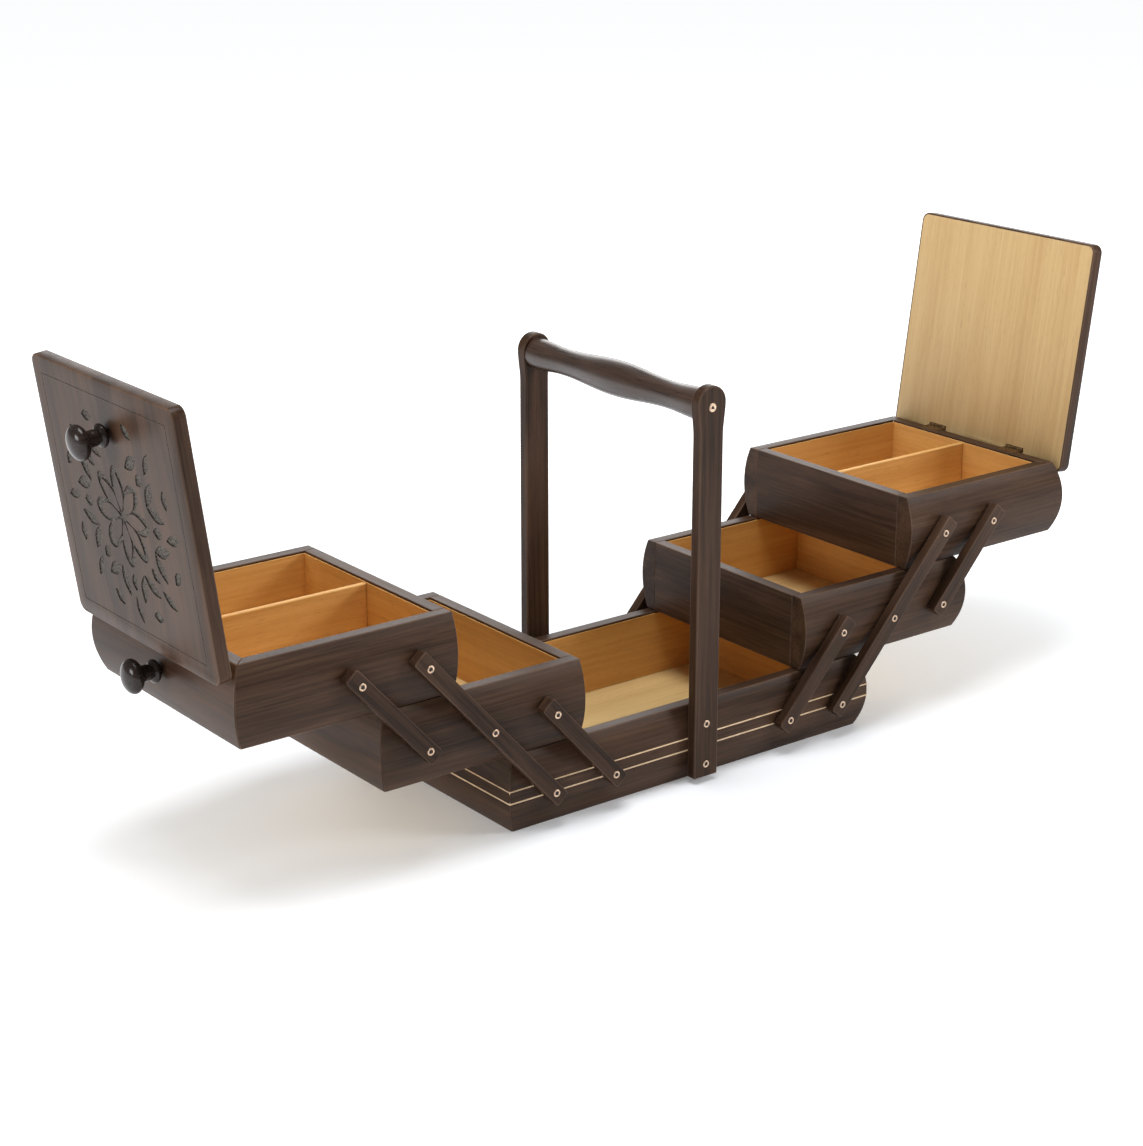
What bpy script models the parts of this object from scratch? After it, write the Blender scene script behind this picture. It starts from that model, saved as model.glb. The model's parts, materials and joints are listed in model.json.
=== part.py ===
"""Sewing box with two banks of trays that swing out on parallel arms, under one fixed carrying handle.

Metres, +Z up. The origin is the centre of the base's underside, X runs along the box and -Y is its front.
Each bank is drawn once, as the right-hand one, and the left-hand bank is the same bank turned half round Z.
The trays stand fully out and both lids are open.
"""

import math

import bmesh
import bpy
from mathutils import Matrix, Vector

# Tiers: the base, the lower trays and the upper trays share one section
TIER_HEIGHT = 0.0704
BOX_WIDTH = 0.2200              # outside, over the top and bottom edges
WALL = 0.0115                   # thickness at the rim
BULGE = 0.0085                  # how far the curved walls swell at mid height
BASE_LENGTH = 0.4000
TRAY_LENGTH = 0.2005
BOTTOM_THICKNESS = 0.0050
DIVIDER_THICKNESS = 0.0045
DIVIDER_DROP = 0.0022           # from the rim down to the divider's top
JOINT_GAP = 0.0003              # between pieces that meet

# Parallel arms
PIVOT_STEP = 0.0952             # along an arm, from one tier's pivot to the next
LEAN = math.radians(41.7)       # arm from the vertical; the folded bank leans as far the other way
TIER_PITCH = PIVOT_STEP * math.cos(LEAN)
TIER_SHIFT = PIVOT_STEP * math.sin(LEAN)
PIVOT_HEIGHT = 0.0340           # above its own tier's underside
PIVOT_COLUMNS = (0.1018, 0.1666, 0.2314)  # short lower, long and short upper arm, brought back to the base
ARM_WIDTH = 0.0152
ARM_THICKNESS = 0.0100
ARM_FOOT = 0.0105               # past the lowest pivot
ARM_HEAD = 0.0150               # past the highest pivot
ARM_CLEARANCE = 0.0008          # between an arm and the swell of the walls
PIN_RADIUS = 0.0018
PIN_HOLE_RADIUS = 0.0022
PIN_DEPTH = 0.0100              # into the wall, from its swell
HOLE_DEPTH = 0.0106

# Where the trays' inner ends stand when the bank is folded in
LOWER_FOLDED_X = 0.0005
UPPER_FOLDED_X = 0.0050

# Lids
LID_OPEN = math.radians(97.5)
LID_WIDTH = 0.2300
LID_FREE_FOLDED_X = 0.0005      # free edge when the bank and the lid are closed
LID_OVERHANG = 0.0125           # past the hinge line
LID_CORNER = 0.0085
PANEL_THICKNESS = 0.0122
LINING_THICKNESS = 0.0009
LINING_INSET = 0.0018           # from the panel's edge
LID_SEAT = 0.0006               # closed lid above the rim
HINGE_OFFSET = 0.0072           # hinge line outside the rim's outer edge

# Butt hinges
HINGE_Y = 0.0530
HINGE_LENGTH = 0.0220
LEAF_REACH = 0.0140
LEAF_THICKNESS = 0.0008
LEAF_SINK = 0.00005             # leaf's face below the wood around it
MORTISE_CLEARANCE = 0.0003
BARREL_RADIUS = 0.0015
HINGE_PIN_RADIUS = 0.0006
BARREL_BORE_RADIUS = 0.0009
KNUCKLE_GAP = 0.0003

# Knobs
KNOB_LENGTH = 0.0320
KNOB_HEAD_RADIUS = 0.0145
KNOB_HEAD_DEPTH = 0.0158
KNOB_NECK_RADIUS = 0.0068
KNOB_COLLAR_RADIUS = 0.0098
KNOB_COLLAR_DEPTH = 0.0100
LID_KNOB_INSET = 0.0435         # from the lid's free edge
END_KNOB_HEIGHT = 0.0352        # above the tray's underside

# Carrying handle
UPRIGHT_GAP = 0.0005            # between an upright and the swell of the walls
UPRIGHT_THICKNESS = 0.0105
UPRIGHT_FOOT = 0.0055           # height of its bottom end
UPRIGHT_FOOT_HALF = 0.0134
UPRIGHT_NECK_HALF = 0.0130
UPRIGHT_NECK_DROP = 0.0290      # below the centre of the round head
UPRIGHT_HEAD_RADIUS = 0.0155
UPRIGHT_HEAD_RISE = 0.0033      # centre of the round head above the grip's axis
GRIP_HEIGHT = 0.3455
GRIP_END_RADIUS = 0.0143
GRIP_WAIST_RADIUS = 0.0123
GRIP_MIDDLE_RADIUS = 0.0162
GRIP_WAIST_Y = 0.0740
GRIP_STEPS = 20

ARC_STEPS = 12
CYLINDER_SIDES = 12
TURN_STEPS = 20

HALF_WIDTH = BOX_WIDTH / 2
HALF_TRAY = TRAY_LENGTH / 2
SWELL_Y = HALF_WIDTH + BULGE
ARM_INNER_Y = SWELL_Y + ARM_CLEARANCE
ARM_OUTER_Y = ARM_INNER_Y + ARM_THICKNESS
UPRIGHT_INNER_Y = SWELL_Y + UPRIGHT_GAP
GRIP_HALF = UPRIGHT_INNER_Y - JOINT_GAP
LOWER_X = LOWER_FOLDED_X + HALF_TRAY + 2 * TIER_SHIFT
UPPER_X = UPPER_FOLDED_X + HALF_TRAY + 4 * TIER_SHIFT
LID_PIVOT_X = UPPER_X + HALF_TRAY + HINGE_OFFSET
RIM_Z = 2 * TIER_PITCH + TIER_HEIGHT
LID_PIVOT_Z = RIM_Z + LID_SEAT / 2
RECESS_FLOOR = LID_SEAT / 2 + LINING_THICKNESS + JOINT_GAP  # above the hinge line, with the lid closed
LID_REACH = LID_PIVOT_X - 4 * TIER_SHIFT - LID_FREE_FOLDED_X

STAND = Matrix.Rotation(math.radians(90), 4, "X")              # outline (x, y) to X, Z; depth along Y
STAND_ALONG = Matrix.Rotation(math.radians(90), 4, "Z") @ STAND  # outline (x, y) to Y, Z; depth along X

for old in list(bpy.data.objects):
    bpy.data.objects.remove(old)

PARTS = bpy.data.collections.new("sewing_box")
bpy.context.scene.collection.children.link(PARTS)


# Materials

def make_material(name, colour, roughness, metallic=0.0):
    material = bpy.data.materials.new(name)
    material.use_nodes = True
    shader = material.node_tree.nodes["Principled BSDF"]
    shader.inputs["Base Color"].default_value = (*colour, 1.0)
    shader.inputs["Roughness"].default_value = roughness
    shader.inputs["Metallic"].default_value = metallic
    return material


WALNUT = make_material("dark_walnut", (0.070, 0.043, 0.033), 0.42)
PINE = make_material("pale_pine", (0.610, 0.390, 0.180), 0.55)
EBONISED = make_material("ebonised_wood", (0.022, 0.016, 0.014), 0.22)
BRASS = make_material("aged_brass", (0.450, 0.310, 0.150), 0.40, 1.0)


# Shapes

def mesh_of(bm, name):
    bmesh.ops.recalc_face_normals(bm, faces=bm.faces)
    mesh = bpy.data.meshes.new(name)
    bm.to_mesh(mesh)
    bm.free()
    return mesh


def outline_mesh(name, points, half_depth, turn):
    """A flat outline filled and extruded to both sides, then turned."""
    curve = bpy.data.curves.new(name, "CURVE")
    curve.dimensions = "2D"
    curve.fill_mode = "BOTH"
    curve.extrude = half_depth
    spline = curve.splines.new("POLY")
    spline.points.add(len(points) - 1)
    for point, (x, y) in zip(spline.points, points):
        point.co = (x, y, 0.0, 1.0)
    spline.use_cyclic_u = True
    drawn = bpy.data.objects.new(name, curve)
    PARTS.objects.link(drawn)
    bm = bmesh.new()
    bm.from_mesh(baked(drawn))
    bmesh.ops.remove_doubles(bm, verts=bm.verts, dist=1e-6)
    bmesh.ops.transform(bm, matrix=turn, verts=bm.verts)
    return mesh_of(bm, name)


def baked(obj):
    """The object's evaluated mesh; the object itself is removed."""
    bpy.context.view_layer.update()
    depsgraph = bpy.context.evaluated_depsgraph_get()
    mesh = bpy.data.meshes.new_from_object(obj.evaluated_get(depsgraph))
    bpy.data.objects.remove(obj)
    return mesh


def box_mesh(name, low, high):
    bm = bmesh.new()
    add_box(bm, low, high)
    return mesh_of(bm, name)


def add_box(bm, low, high):
    low, high = Vector(low), Vector(high)
    size = Matrix.Diagonal((*(high - low), 1.0))
    bmesh.ops.create_cube(bm, size=1.0, matrix=Matrix.Translation((low + high) / 2) @ size)


def add_cylinder(bm, radius, start, end):
    """A capped cylinder between two points on a line along Y."""
    start, end = Vector(start), Vector(end)
    turn = Matrix.Rotation(math.radians(90), 4, "X")
    bmesh.ops.create_cone(bm, cap_ends=True, segments=CYLINDER_SIDES, radius1=radius, radius2=radius,
                          depth=(end - start).length, matrix=Matrix.Translation((start + end) / 2) @ turn)


def combined(mesh, tool, operation):
    """mesh with the tool mesh's bodies cut away or joined on."""
    body = bpy.data.objects.new(mesh.name, mesh)
    helper = bpy.data.objects.new("helper", tool)
    for obj in (body, helper):
        PARTS.objects.link(obj)
    boolean = body.modifiers.new(operation.lower(), "BOOLEAN")
    boolean.operation = operation
    boolean.object = helper
    result = baked(body)
    bpy.data.objects.remove(helper)
    return result


def trimmed(mesh, point, normal):
    """mesh without what lies past a plane, and closed there."""
    bm = bmesh.new()
    bm.from_mesh(mesh)
    geometry = bm.verts[:] + bm.edges[:] + bm.faces[:]
    bmesh.ops.bisect_plane(bm, geom=geometry, plane_co=point, plane_no=normal, clear_outer=True)
    bmesh.ops.holes_fill(bm, edges=[edge for edge in bm.edges if edge.is_boundary])
    return mesh_of(bm, mesh.name)


def turned_mesh(name, profile):
    """A profile of (radius, height) pairs, top first, turned round Z."""
    mesh = bpy.data.meshes.new(name)
    edges = [(i, i + 1) for i in range(len(profile) - 1)]
    mesh.from_pydata([(radius, 0.0, height) for radius, height in profile], edges, [])
    body = bpy.data.objects.new(name, mesh)
    PARTS.objects.link(body)
    screw = body.modifiers.new("turn", "SCREW")
    screw.steps = TURN_STEPS
    screw.render_steps = TURN_STEPS
    screw.use_merge_vertices = True
    screw.merge_threshold = 0.00005
    return baked(body)


# Placing

def add_empty(name, parent, location, angle_y=0.0, angle_z=0.0):
    empty = bpy.data.objects.new(name, None)
    PARTS.objects.link(empty)
    empty.parent = parent
    empty.location = location
    empty.rotation_euler = (0.0, angle_y, angle_z)
    return empty


def add_piece(name, mesh, material, parent, location=(0.0, 0.0, 0.0), turn_z=0.0):
    if not mesh.materials:
        mesh.materials.append(material)
    mesh.shade_smooth()
    mesh.set_sharp_from_angle(angle=math.radians(35))
    piece = bpy.data.objects.new(name, mesh)
    PARTS.objects.link(piece)
    piece.parent = parent
    piece.location = location
    piece.rotation_euler = (0.0, 0.0, turn_z)
    return piece


# Boxes: each is drawn about the middle of its own underside

def swell_profile(edge):
    """A wall's section, outer side at +edge: a shallow arc outside, flat inside."""
    half_height = TIER_HEIGHT / 2
    radius = (half_height ** 2 + BULGE ** 2) / (2 * BULGE)
    half_angle = math.asin(half_height / radius)
    points = []
    for step in range(ARC_STEPS + 1):
        angle = half_angle * (2 * step / ARC_STEPS - 1)
        points.append((edge + BULGE - radius * (1 - math.cos(angle)), half_height + radius * math.sin(angle)))
    return points + [(edge - WALL, TIER_HEIGHT), (edge - WALL, 0.0)]


def mitred(mesh, corner, normal):
    """A wall cut at 45 degrees through a corner, with half a joint's gap left there."""
    direction = Vector(normal).normalized()
    return trimmed(mesh, Vector(corner) - direction * JOINT_GAP / 2, direction)


def side_wall(half_length, mitred_ends, pivots):
    """The wall on the +Y side, with a blind hole for each pivot pin. mitred_ends holds 1, or 1 and -1."""
    start = -half_length - 2 * BULGE if -1 in mitred_ends else -half_length
    end = half_length + 2 * BULGE
    along = Matrix.Translation(((start + end) / 2, 0.0, 0.0)) @ STAND_ALONG
    mesh = outline_mesh("side_wall", swell_profile(HALF_WIDTH), (end - start) / 2, along)
    for sign in mitred_ends:
        mesh = mitred(mesh, (sign * half_length, HALF_WIDTH, 0.0), (sign, -1.0, 0.0))
    holes = bmesh.new()
    for x in pivots:
        add_cylinder(holes, PIN_HOLE_RADIUS, (x, SWELL_Y - HOLE_DEPTH, PIVOT_HEIGHT),
                     (x, SWELL_Y + BULGE, PIVOT_HEIGHT))
    return combined(mesh, mesh_of(holes, "holes"), "DIFFERENCE")


def curved_end(half_length):
    """The swelling end wall on the +X side, mitred into the side walls."""
    mesh = outline_mesh("curved_end", swell_profile(half_length), HALF_WIDTH + 2 * BULGE, STAND)
    for sign in (1, -1):
        mesh = mitred(mesh, (half_length, sign * HALF_WIDTH, 0.0), (-1.0, sign, 0.0))
    return mesh


def hinge_end():
    """The upper tray's outer end wall, with a shallow mortise in its rim for each hinge leaf."""
    cuts = bmesh.new()
    depth = LEAF_THICKNESS + 2 * LEAF_SINK + MORTISE_CLEARANCE
    half = HINGE_LENGTH / 2 + MORTISE_CLEARANCE
    hinge_x = HALF_TRAY + HINGE_OFFSET
    for y in (-HINGE_Y, HINGE_Y):
        add_box(cuts, (hinge_x - LEAF_REACH - MORTISE_CLEARANCE, y - half, TIER_HEIGHT - depth),
                (hinge_x + 2 * BARREL_RADIUS, y + half, TIER_HEIGHT + depth))
    return combined(curved_end(HALF_TRAY), mesh_of(cuts, "mortises"), "DIFFERENCE")


def flat_end():
    """The flat wall at a tray's inner end, between its side walls."""
    reach = HALF_WIDTH - WALL - JOINT_GAP
    return box_mesh("flat_end", (-HALF_TRAY, -reach, 0.0), (-HALF_TRAY + WALL, reach, TIER_HEIGHT))


def bottom_board(half_length):
    reach_x = half_length - WALL - JOINT_GAP
    reach_y = HALF_WIDTH - WALL - JOINT_GAP
    return box_mesh("bottom_board", (-reach_x, -reach_y, 0.0), (reach_x, reach_y, BOTTOM_THICKNESS))


def divider_board():
    reach_x = HALF_TRAY - WALL - JOINT_GAP
    return box_mesh("divider_board", (-reach_x, -DIVIDER_THICKNESS / 2, BOTTOM_THICKNESS + JOINT_GAP),
                    (reach_x, DIVIDER_THICKNESS / 2, TIER_HEIGHT - DIVIDER_DROP))


# Arms: drawn from the lowest pivot, on the +Y side, along the lean

def arm_mesh(steps):
    direction = Vector((math.sin(LEAN), 0.0, math.cos(LEAN)))
    lean = Matrix.Rotation(LEAN, 4, "Y")
    length = steps * PIVOT_STEP
    bar = bmesh.new()
    add_box(bar, (-ARM_WIDTH / 2, ARM_INNER_Y, -ARM_FOOT), (ARM_WIDTH / 2, ARM_OUTER_Y, length + ARM_HEAD))
    bmesh.ops.transform(bar, matrix=lean, verts=bar.verts)
    pins = bmesh.new()
    for step in range(steps + 1):
        centre = direction * PIVOT_STEP * step
        inner = centre + Vector((0.0, SWELL_Y - PIN_DEPTH, 0.0))
        outer = centre + Vector((0.0, (ARM_INNER_Y + ARM_OUTER_Y) / 2, 0.0))
        add_cylinder(pins, PIN_RADIUS, inner, outer)
    return combined(mesh_of(bar, "arm"), mesh_of(pins, "pins"), "UNION")


# Lids: drawn closed, about the hinge line, the free edge towards -X

def rounded_rectangle(x_low, y_low, x_high, y_high, radius):
    corners = ((x_high - radius, y_low + radius, -90), (x_high - radius, y_high - radius, 0),
               (x_low + radius, y_high - radius, 90), (x_low + radius, y_low + radius, 180))
    points = []
    for centre_x, centre_y, start in corners:
        for degrees in range(start, start + 91, 15):
            angle = math.radians(degrees)
            points.append((centre_x + radius * math.cos(angle), centre_y + radius * math.sin(angle)))
    return points


def lid_layer(name, inset, bottom, thickness):
    half_width = LID_WIDTH / 2 - inset
    points = rounded_rectangle(-LID_REACH + inset, -half_width, LID_OVERHANG - inset, half_width,
                               LID_CORNER - inset)
    return outline_mesh(name, points, thickness / 2, Matrix.Translation((0.0, 0.0, bottom + thickness / 2)))


def lid_cut(mesh, x_low, x_high, z_high):
    """A lid layer cut away from below, once for each hinge."""
    half = HINGE_LENGTH / 2 + MORTISE_CLEARANCE
    cuts = bmesh.new()
    for y in (-HINGE_Y, HINGE_Y):
        add_box(cuts, (x_low, y - half, -LID_SEAT), (x_high, y + half, z_high))
    return combined(mesh, mesh_of(cuts, "cuts"), "DIFFERENCE")


def lid_lining():
    """The pale inner board, let into the panel over the hinge leaves, with a slot for each barrel."""
    barrel = BARREL_RADIUS + MORTISE_CLEARANCE
    return lid_cut(lid_layer("lid_lining", LINING_INSET, LID_SEAT / 2, LINING_THICKNESS), -barrel, barrel,
                   RECESS_FLOOR + LINING_THICKNESS)


def lid_panel():
    """The dark outer board, with a shallow recess for the lining and a mortise there for each hinge leaf."""
    board = lid_layer("lid_panel", 0.0, LID_SEAT / 2, PANEL_THICKNESS)
    recess = lid_layer("recess", LINING_INSET - JOINT_GAP, -LID_SEAT / 2, RECESS_FLOOR + LID_SEAT / 2)
    return lid_cut(combined(board, recess, "DIFFERENCE"), -LEAF_REACH - MORTISE_CLEARANCE,
                   BARREL_RADIUS + MORTISE_CLEARANCE, RECESS_FLOOR + LEAF_THICKNESS + MORTISE_CLEARANCE)


# Butt hinges: drawn about the hinge line with the lid closed

def leaf_mesh(name, z_low, relief):
    """A leaf's plate, cut back where the other leaf's knuckles turn. relief lists (y from, y to)."""
    plate = box_mesh(name, (-LEAF_REACH, -HINGE_LENGTH / 2, z_low), (0.0, HINGE_LENGTH / 2, z_low + LEAF_THICKNESS))
    cuts = bmesh.new()
    for y_low, y_high in relief:
        add_box(cuts, (-BARREL_RADIUS - KNUCKLE_GAP, y_low, -2 * BARREL_RADIUS),
                (2 * BARREL_RADIUS, y_high, 2 * BARREL_RADIUS))
    return combined(plate, mesh_of(cuts, "relief"), "DIFFERENCE")


def with_cylinder(mesh, radius, y_low, y_high, operation):
    tool = bmesh.new()
    add_cylinder(tool, radius, (0.0, y_low, 0.0), (0.0, y_high, 0.0))
    return combined(mesh, mesh_of(tool, "cylinder"), operation)


def tray_leaf():
    """The leaf on the rim: two outer knuckles and the pin that runs through all three."""
    third, half = HINGE_LENGTH / 6, HINGE_LENGTH / 2
    z_low = -LID_SEAT / 2 - LEAF_SINK - LEAF_THICKNESS
    mesh = leaf_mesh("tray_leaf", z_low, [(-third - KNUCKLE_GAP / 2, third + KNUCKLE_GAP / 2)])
    mesh = with_cylinder(mesh, BARREL_RADIUS, -half, -third - KNUCKLE_GAP / 2, "UNION")
    mesh = with_cylinder(mesh, BARREL_RADIUS, third + KNUCKLE_GAP / 2, half, "UNION")
    return with_cylinder(mesh, HINGE_PIN_RADIUS, -half + LEAF_THICKNESS, half - LEAF_THICKNESS, "UNION")


def lid_leaf():
    """The leaf under the lid's lining: one bored middle knuckle, on a web that comes through the lining."""
    third, half = HINGE_LENGTH / 6, HINGE_LENGTH / 2
    inner = third - KNUCKLE_GAP / 2
    mesh = leaf_mesh("lid_leaf", RECESS_FLOOR, [(-2 * half, -inner), (inner, 2 * half)])
    web = box_mesh("web", (-BARREL_RADIUS, -inner, 0.0), (0.0, inner, RECESS_FLOOR + LEAF_THICKNESS / 2))
    mesh = combined(mesh, web, "UNION")
    mesh = with_cylinder(mesh, BARREL_RADIUS, -inner, inner, "UNION")
    return with_cylinder(mesh, BARREL_BORE_RADIUS, -half, half, "DIFFERENCE")


# Turned pieces

def ellipse_arc(radius, half_depth, centre_z, start, end, steps):
    angles = [math.radians(start + (end - start) * step / steps) for step in range(steps + 1)]
    return [(radius * math.cos(a), centre_z + half_depth * math.sin(a)) for a in angles]


def knob_mesh():
    """A flattened ball on a waisted neck with a rounded collar, standing up from Z = 0."""
    head_half = KNOB_HEAD_DEPTH / 2
    head = ellipse_arc(KNOB_HEAD_RADIUS, head_half, KNOB_LENGTH - head_half, 90, -56, 8)
    collar_half = KNOB_COLLAR_DEPTH / 2
    collar = ellipse_arc(KNOB_COLLAR_RADIUS, collar_half, collar_half, 50, -70, 5)
    neck_z = (head[-1][1] + collar[0][1]) / 2
    outline = [(0.0, KNOB_LENGTH)] + head[1:] + [(KNOB_NECK_RADIUS, neck_z)] + collar
    return turned_mesh("knob", outline + [(collar[-1][0], 0.0), (0.0, 0.0)])


def grip_radius(y):
    """Full at the ends, waisted, and swelling in the middle."""
    distance = abs(y)
    if distance < GRIP_WAIST_Y:
        share = (1 + math.cos(math.pi * distance / GRIP_WAIST_Y)) / 2
        return GRIP_WAIST_RADIUS + (GRIP_MIDDLE_RADIUS - GRIP_WAIST_RADIUS) * share
    share = (1 - math.cos(math.pi * (distance - GRIP_WAIST_Y) / (GRIP_HALF - GRIP_WAIST_Y))) / 2
    return GRIP_WAIST_RADIUS + (GRIP_END_RADIUS - GRIP_WAIST_RADIUS) * share


def grip_mesh():
    heights = [GRIP_HALF * (1 - 2 * step / GRIP_STEPS) for step in range(GRIP_STEPS + 1)]
    profile = [(grip_radius(height), height) for height in heights]
    return turned_mesh("grip", [(0.0, GRIP_HALF)] + profile + [(0.0, -GRIP_HALF)])


def upright_mesh():
    """A flat post that narrows slightly upwards and ends in a round head, foot at Z = 0 of its own."""
    centre = GRIP_HEIGHT + UPRIGHT_HEAD_RISE - UPRIGHT_FOOT
    neck = centre - UPRIGHT_NECK_DROP
    right = [(UPRIGHT_FOOT_HALF, 0.0), (UPRIGHT_NECK_HALF, neck)]
    for step in range(1, 7):
        share = step / 6
        swell = share * share * (3 - 2 * share)
        half = UPRIGHT_NECK_HALF + (UPRIGHT_HEAD_RADIUS - UPRIGHT_NECK_HALF) * swell
        right.append((half, neck + UPRIGHT_NECK_DROP * share))
    head = ellipse_arc(UPRIGHT_HEAD_RADIUS, UPRIGHT_HEAD_RADIUS, centre, 15, 165, 10)
    left = [(-x, z) for x, z in reversed(right)]
    return outline_mesh("upright", right + head + left, UPRIGHT_THICKNESS / 2, STAND)


# Assembly

def mirrored_y(mesh):
    bm = bmesh.new()
    bm.from_mesh(mesh)
    bmesh.ops.scale(bm, vec=(1.0, -1.0, 1.0), verts=bm.verts)
    return mesh_of(bm, mesh.name)


def both_sides(mesh):
    """(sign of Y, mesh) for a piece and its mirror image on the box's other long side."""
    return ((1, mesh), (-1, mirrored_y(mesh)))


def build_base():
    half = BASE_LENGTH / 2
    pivots = [sign * column for sign in (1, -1) for column in PIVOT_COLUMNS[:2]]
    for sign, wall in both_sides(side_wall(half, (1, -1), pivots)):
        add_piece(f"base_{'back' if sign > 0 else 'front'}_wall", wall, WALNUT, None)
    end = curved_end(half)
    add_piece("base_right_end", end, WALNUT, None)
    add_piece("base_left_end", end, WALNUT, None, turn_z=math.pi)
    add_piece("base_bottom", bottom_board(half), PINE, None)


def build_handle():
    upright = upright_mesh()
    offset = UPRIGHT_INNER_Y + UPRIGHT_THICKNESS / 2
    for label, sign in (("back", 1), ("front", -1)):
        add_piece(f"handle_{label}_upright", upright, WALNUT, None, (0.0, sign * offset, UPRIGHT_FOOT))
    grip = add_piece("handle_grip", grip_mesh(), WALNUT, None, (0.0, 0.0, GRIP_HEIGHT))
    grip.rotation_euler = (math.radians(90), 0.0, 0.0)


def make_bank_meshes():
    """Every mesh of a bank, drawn once and used on both sides."""
    lower_pivots = [column + TIER_SHIFT - LOWER_X for column in PIVOT_COLUMNS]
    upper_pivots = [column + 2 * TIER_SHIFT - UPPER_X for column in PIVOT_COLUMNS[1:]]
    return {
        "arm": {steps: both_sides(arm_mesh(steps)) for steps in (1, 2)},
        "lower_side": both_sides(side_wall(HALF_TRAY, (1,), lower_pivots)),
        "upper_side": both_sides(side_wall(HALF_TRAY, (1,), upper_pivots)),
        "lower_end": curved_end(HALF_TRAY),
        "upper_end": hinge_end(),
        "inner_end": flat_end(),
        "bottom": bottom_board(HALF_TRAY),
        "divider": divider_board(),
        "panel": lid_panel(),
        "lining": lid_lining(),
        "tray_leaf": tray_leaf(),
        "lid_leaf": lid_leaf(),
        "knob": knob_mesh(),
    }


class Bank:
    """One bank of trays. World X and Y of the left-hand bank are both reversed."""

    def __init__(self, label, turn, meshes):
        self.label = label
        self.turn = turn
        self.meshes = meshes
        self.root = add_empty(f"{label}_bank", None, (0.0, 0.0, 0.0), angle_z=turn)

    def side_name(self, sign):
        return "back" if (sign > 0) == (self.label == "right") else "front"

    def axis(self, name, x, z, angle=0.0):
        """An empty on a joint's axis, and that axis's place."""
        empty = add_empty(f"{self.label}_{name}_axis", self.root, (x, 0.0, z), angle_y=angle)
        return empty, Vector((x, 0.0, z))

    def arms(self, name, column, tier, steps):
        x = PIVOT_COLUMNS[column] + tier * TIER_SHIFT
        empty, _ = self.axis(f"{name}_arms", x, tier * TIER_PITCH + PIVOT_HEIGHT)
        for sign, mesh in self.meshes["arm"][steps]:
            add_piece(f"{self.label}_{self.side_name(sign)}_{name}_arm", mesh, WALNUT, empty)

    def tray(self, name, centre_x, tier):
        """A tray's boards on its pivot on the long arms. Returns the pivot's empty and the tray's place on it."""
        pivot_x = PIVOT_COLUMNS[1] + tier * TIER_SHIFT
        empty, place = self.axis(f"{name}_tray", pivot_x, tier * TIER_PITCH + PIVOT_HEIGHT)
        seat = Vector((centre_x, 0.0, tier * TIER_PITCH)) - place
        prefix = f"{self.label}_{name}_tray"
        for sign, wall in self.meshes[f"{name}_side"]:
            add_piece(f"{prefix}_{self.side_name(sign)}_wall", wall, WALNUT, empty, seat)
        add_piece(f"{prefix}_outer_end", self.meshes[f"{name}_end"], WALNUT, empty, seat)
        add_piece(f"{prefix}_inner_end", self.meshes["inner_end"], WALNUT, empty, seat)
        add_piece(f"{prefix}_bottom", self.meshes["bottom"], PINE, empty, seat)
        return empty, seat

    def upper_fittings(self, empty, seat):
        """The upper tray's divider, end knob and the hinge leaves on its rim."""
        add_piece(f"{self.label}_upper_tray_divider", self.meshes["divider"], PINE, empty, seat)
        knob_place = seat + Vector((HALF_TRAY + BULGE + JOINT_GAP, 0.0, END_KNOB_HEIGHT))
        knob = add_piece(f"{self.label}_end_knob", self.meshes["knob"], EBONISED, empty, knob_place)
        knob.rotation_euler = (0.0, math.radians(90), 0.0)
        hinge = seat + Vector((HALF_TRAY + HINGE_OFFSET, 0.0, TIER_HEIGHT + LID_SEAT / 2))
        self.leaves("tray", empty, hinge)

    def leaves(self, kind, empty, place):
        for sign in (1, -1):
            location = place + Vector((0.0, sign * HINGE_Y, 0.0))
            name = f"{self.label}_{self.side_name(sign)}_hinge_{kind}_leaf"
            add_piece(name, self.meshes[f"{kind}_leaf"], BRASS, empty, location)

    def lid(self):
        empty, _ = self.axis("lid", LID_PIVOT_X, LID_PIVOT_Z, angle=LID_OPEN)
        add_piece(f"{self.label}_lid_panel", self.meshes["panel"], WALNUT, empty)
        add_piece(f"{self.label}_lid_lining", self.meshes["lining"], PINE, empty)
        top = LID_SEAT / 2 + PANEL_THICKNESS + JOINT_GAP
        add_piece(f"{self.label}_lid_knob", self.meshes["knob"], EBONISED, empty,
                  (-LID_REACH + LID_KNOB_INSET, 0.0, top))
        self.leaves("lid", empty, Vector())

    def build(self):
        self.arms("short_lower", 0, 0, 1)
        self.arms("long", 1, 0, 2)
        self.arms("short_upper", 2, 1, 1)
        self.tray("lower", LOWER_X, 1)
        self.upper_fittings(*self.tray("upper", UPPER_X, 2))
        self.lid()


build_base()
build_handle()
BANK_MESHES = make_bank_meshes()
Bank("right", 0.0, BANK_MESHES).build()
Bank("left", math.pi, BANK_MESHES).build()
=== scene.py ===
# %% [markdown]
# # A wooden sewing box with trays
#
# This notebook dresses a sewing box whose two banks of trays swing out on parallel arms. The box's
# measured model is loaded first and stays as it is: it says where every board, pivot and hinge sits
# and which body each one rides on. Everything below is drawn around it, in metres, with Z up.

# %% Load the measured model
import json
import math

import bmesh
import bpy
from mathutils import Matrix, Vector


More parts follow.
